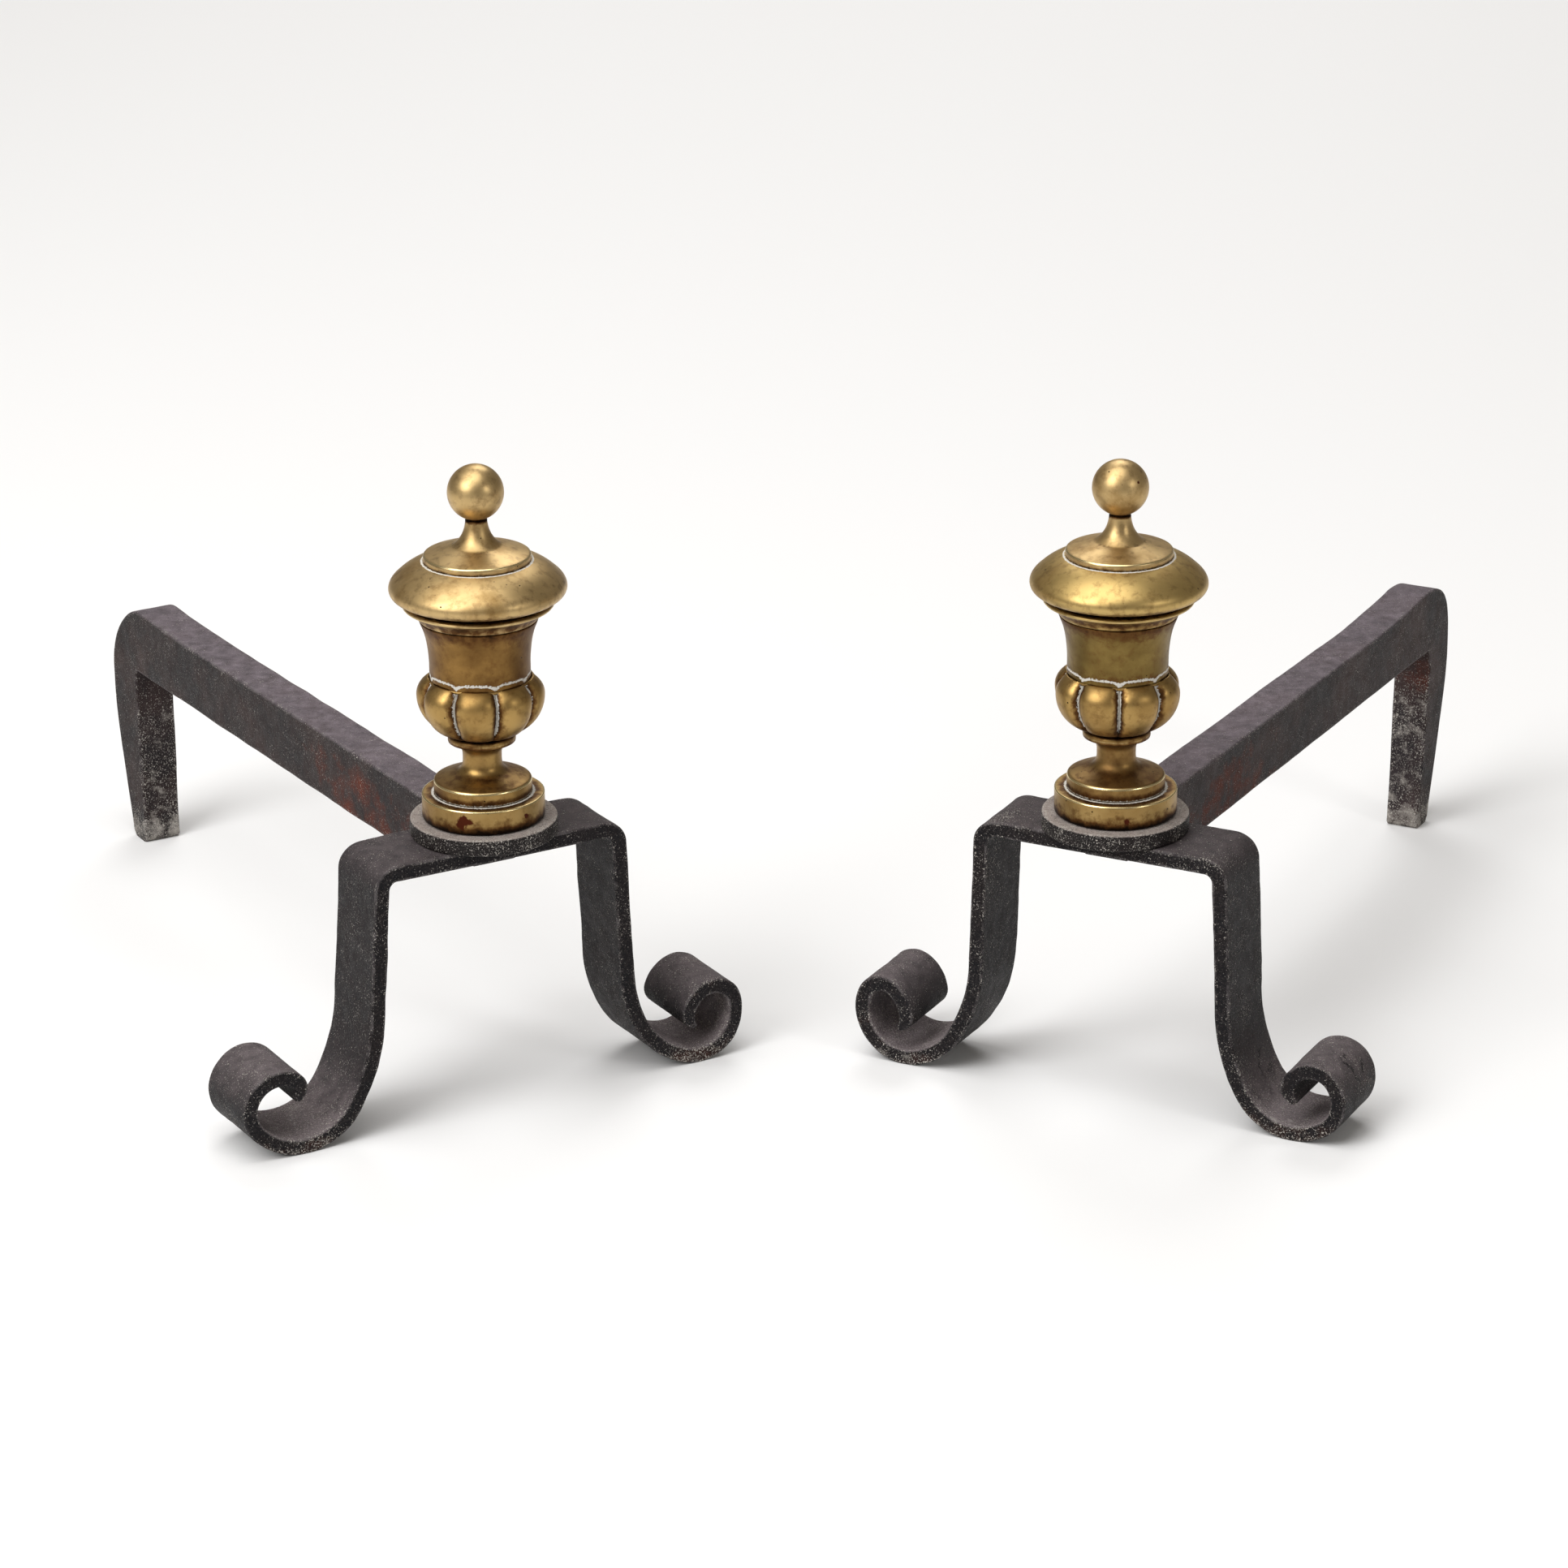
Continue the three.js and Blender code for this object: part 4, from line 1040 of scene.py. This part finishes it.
def barLines(side):
    # The outer line (top, corner, back of the leg) and the inner one (underside, bend, front of the leg), in y
    # and z, cut into the same stations, so that a section stands between each pair of points.
    s, f, stations = billetBar, billetBar["forging"][side], billetBar["stations"]
    topBack = s["topFront"] - s["topFall"]
    crest, crestAt = topBack + f["crown"], s["length"] - s["cornerRadius"]
    underFront, underBack = s["topFront"] - f["depthFront"], topBack - f["depthBack"]
    legStart = underBack - s["innerRadius"]
    legInner = s["length"] - f["legTop"]
    footInner = legInner - f["legLean"]
    footOuter = footInner + s["footThickness"]
    swollen = s["front"] + s["throat"]
    runEnd = s["stepAt"] + s["topRun"]
    bendStart = legInner - s["innerRadius"]
    throatX = s["front"] + s["throatCurve"]
    throat = cubic(
        [s["front"] - s["tongueLip"], s["tongueBottom"]],
        [throatX, s["tongueBottom"]],
        [throatX, underFront],
        [swollen, underFront],
        stations["throat"],
    )

    def underside(y):
        z = np.interp(y, [swollen, bendStart], [underFront, underBack])
        z = np.where(y < swollen, np.interp(y, throat[:, 0], throat[:, 1]), z)
        return np.stack([y, np.where(y < s["front"] - s["tongueLip"], s["tongueBottom"], z)], axis=-1)

    def level(y, z):
        return np.stack([y, np.full(len(y), float(z))], axis=-1)
    shelfGap, topGap = s["stepGaps"]
    tongue = np.linspace(-s["tongueReach"], s["front"], stations["tongue"])
    shelf = np.linspace(s["front"] + shelfGap, s["stepAt"] - shelfGap, stations["shelf"])
    run = np.arange(s["stepAt"] + topGap, runEnd, s["stepMm"])
    top = np.stack([run, s["topFront"] - s["topFall"] * (run - s["stepAt"]) / s["topRun"]], axis=-1)
    crownControl = [crestAt - s["cornerRadius"] / 2, topBack]
    crown = curveThrough([runEnd, topBack], crownControl, [crestAt, crest], stations["crown"])[1:]
    corner = cubic(
        [crestAt, crest],
        [crestAt + (s["length"] - crestAt) * f["squareness"], crest],
        [s["length"], legStart + (crest - legStart) * f["squareness"]],
        [s["length"], legStart],
        stations["corner"],
    )[1:]
    bend = curveThrough(
        [bendStart, underBack], [legInner, underBack], [legInner, legStart], stations["corner"])[1:]
    calf = cubic(
        [s["length"], legStart],
        [s["length"], s["calfHeight"]],
        [footOuter + s["heelSwell"], s["heelHeight"]],
        [footOuter, s["heelEdge"]],
        stations["leg"],
    )[1:]
    shinControl = [legInner - f["legLean"] / 4, underBack / 2]
    shin = curveThrough([legInner, legStart], shinControl, [footInner, s["toeEdge"]], stations["leg"])[1:]
    crownUnder = underside(np.linspace(run[-1], bendStart, len(crown) + 1)[1:])
    heel = np.array([[footOuter - s["heelEdge"], 0]])
    toe = np.array([[footInner + s["toeEdge"], 0]])
    front = [level(tongue, s["tongueTop"]), level(shelf, s["shelf"])]
    outer = np.concatenate([*front, top, crown, corner, calf, heel])
    inner = np.concatenate([underside(tongue), underside(shelf), underside(run), crownUnder, bend, shin, toe])
    return outer, inner


def makeBar(side, material):
    # Each section stands between a point of the inner line and its partner on the outer one: x = q, and
    # (y, z) = the middle of the two + p times the direction from the inner to the outer.
    s, f = billetBar, billetBar["forging"][side]
    outer, inner = barLines(side)
    centre, reach = (outer + inner) / 2, outer - inner
    halfP = np.hypot(*reach.T) / 2
    direction = reach / (2 * halfP[:, None])
    share = np.clip(centre[:, 1] / s["topFront"], 0, 1)
    halfQ = (f["footWidth"] + (s["width"] - f["footWidth"]) * share) / 2
    along = lengthAlong(centre)
    radius = np.minimum(s["edge"], halfP * s["edgeShare"])
    toEnd = np.minimum(along, along[-1] - along)
    radius = np.where(toEnd == 0, radius * s["endShare"], radius)
    p, q, normalP, normalQ, near = sectionPoints(halfP, halfQ, radius)

    def carried(p, q):
        y = centre[:, 0][:, None] + p * direction[:, 0][:, None]
        z = centre[:, 1][:, None] + p * direction[:, 1][:, None]
        return np.stack([q + 0 * p, y, z], axis=-1)
    grid = carried(p, q)
    behind = np.clip((centre[:, 0] - s["stepAt"]) / s["dentOver"], 0, 1)[:, None]
    big = s["unevenness"] * hammered(grid, s["seeds"][side], s["waveMm"])
    fine = hammered(grid, s["seeds"]["ripple"], s["waveMm"] / s["ripple"]["finer"])
    dent = (big + s["ripple"]["share"] * s["unevenness"] * fine) * behind
    grid = carried(p - dent * normalP, q - dent * normalQ)
    grid[..., 2] = np.maximum(grid[..., 2], 0)
    y, z = grid[..., 1], grid[..., 2]
    leg, fire, bend = s["leg"], s["fire"], s["bend"]
    onLeg = np.clip((leg["top"] - z) / leg["over"], 0, 1) * (y > leg["behind"])
    frontFace = onLeg * np.clip(-(normalP[None, :] + 0 * p), 0, 1)
    footEnd = np.clip((leg["footTop"] - z) / leg["footOver"], 0, 1) * (y > leg["behind"])
    burnt = np.exp(-(((y - fire["at"]) / fire["width"]) ** 2)) * np.clip((fire["top"] - z) / fire["over"], 0, 1)
    fromBend = ((y - bend["y"]) / bend["widthY"]) ** 2 + ((z - bend["z"]) / bend["widthZ"]) ** 2
    underBend = np.exp(-fromBend) * np.clip(-normalP, 0, 1)
    up = upward(grid)
    # The dust mark is partly a painted sheen that lightens the faces that look up; the edge mark is partly a
    # painted highlight.
    marks = {
        "edge": near + 0 * p,
        "dustAndSheen": up,
        "rust": np.maximum(fire["rust"] * burnt * (1 - up), f["bendRust"] * underBend),
        "ash": np.maximum(f["legAsh"] * frontFace, leg["footAsh"] * footEnd),
        "split": 0 * near + 0 * p,
    }
    piece = gridMesh(side + "_forged_billet_bar", side, grid, False, marks)
    finishPiece(piece, side, "billet_bar", material)


# The finishes of this pair: each piece of brass has its own gold, the bells' darker brass is partly painted
# shade, and the bars are browner than the straps.
strapIron = forgedIron("hand-forged strap iron", {"browning": 0.35, "rusting": 0.4, "dustAndSheenAmount": 0.78})
barIron = forgedIron("forged bar iron", {
    "scale": "#1b1719", "brown": "#3c2c29", "rust": "#662f1e", "dustAndSheen": "#857b82",
    "browning": 0.85, "rusting": 1.0, "dustAndSheenAmount": 0.95, "flecks": 0.8,
})
discIron = forgedIron("ash-dusted disc iron", {
    "scale": "#1c1a1a", "dustAndSheenAmount": 1.8, "dustAndSheen": "#a39892", "flecks": 1.5,
})
rodIron = forgedIron("drawn rod iron", {"dustAndSheenAmount": 0.2})
brasses = {
    "left": {
        "base": agedBrass("turned brass, plinth", {"metal": "#a58a58", "patina": 0.85}),
        "pedestal": agedBrass("turned brass, pedestal", {
            "metal": "#a3844f", "deep": "#6f5230", "patina": 0.85,
        }),
        "bowl": agedBrass("cast brass, lobed bowl", {"metal": "#ab8c55", "patina": 0.6}),
        # The bell's brass is made darker, partly as painted shade and a painted dark reflection under the rim's
        # overhang.
        "bell": agedBrass("turned brass, bell", {"metal": "#8d6c3c", "deep": "#5c4022", "patina": 0.9}),
        "rim": agedBrass("turned brass, rim", {"patina": 0.35}),
        "lid": agedBrass("turned brass, lid", {"patina": 0.5}),
        "ball": agedBrass("turned brass, ball", {"patina": 0.35}),
    },
}
brasses["right"] = {
    **brasses["left"],
    # The bell's brass is made darker, partly as painted shade and a painted dark reflection under the rim's
    # overhang.
    "bell": agedBrass("turned brass, bell, greener", {"metal": "#867140", "deep": "#574020", "patina": 1.0}),
    "rim": agedBrass("turned brass, rim, browner", {"metal": "#bfa368", "patina": 0.5}),
}
print("materials are made")


def discMarks(piece, side):  # edge with painted highlight, dust with painted sheen, and ash, by nearness to the disc's rim and its top
    mesh = piece.data
    points = np.zeros(len(mesh.vertices) * 3)
    mesh.vertices.foreach_get("co", points)
    points = points.reshape(-1, 3)
    axisX, axisY = stance[side]["axis"]
    radius = np.hypot(points[:, 0] - axisX, points[:, 1] - axisY) / mm
    height = points[:, 2] / mm - seatOf(side + "_collar_disc")
    rim, half = discSize["radius"], discSize["thickness"] / 2
    nearRim = np.exp(-(((rim - radius) / discSize["rimWear"]) ** 2))
    nearRim = nearRim * np.clip(np.abs(height - half) / half, 0, 1) ** 3
    onTop = np.clip((height - discSize["dustSheenFrom"]) / discSize["dustSheenFade"], 0, 1)
    values = {
        "edge": np.maximum(nearRim, discSize["rimShine"] * (radius > rim - discSize["rimWidth"])),
        "dustAndSheen": onTop * (radius < rim - discSize["dustSheenEdge"]),
        "rust": 0 * radius,
        "ash": discSize["ash"] * (height > discSize["ashFrom"]),
    }
    for key, v in values.items():
        mesh.attributes.new(key, "FLOAT", "POINT").data.foreach_set("value", v.astype(np.float32))


for side in ("left", "right"):
    brass = brasses[side]
    disc = turnedPiece(side + "_iron_disc", side, "collar_disc", collarDisc, discIron)
    discMarks(disc, side)
    turnedPiece(side + "_plinth_ring", side, "base_ring", baseRing, brass["base"])
    turnedPiece(side + "_turned_pedestal", side, "pedestal", pedestal, brass["pedestal"])
    makeBowl(side, brass["bowl"])
    turnedPiece(side + "_turned_bell", side, "bell", bell, brass["bell"])
    turnedPiece(side + "_swelling_rim", side, "rim_bulb", rimBulb, brass["rim"])
    turnedPiece(side + "_turned_lid", side, "lid", lid, brass["lid"])
    turnedPiece(side + "_ball", side, "ball_finial", ballFinial, brass["ball"])
    makeStrap(side, strapIron)
    makeBar(side, barIron)
    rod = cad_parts[side + "_tie_rod"]
    rod.data.materials.clear()
    rod.data.materials.append(rodIron)
    print(side, "andiron is made")
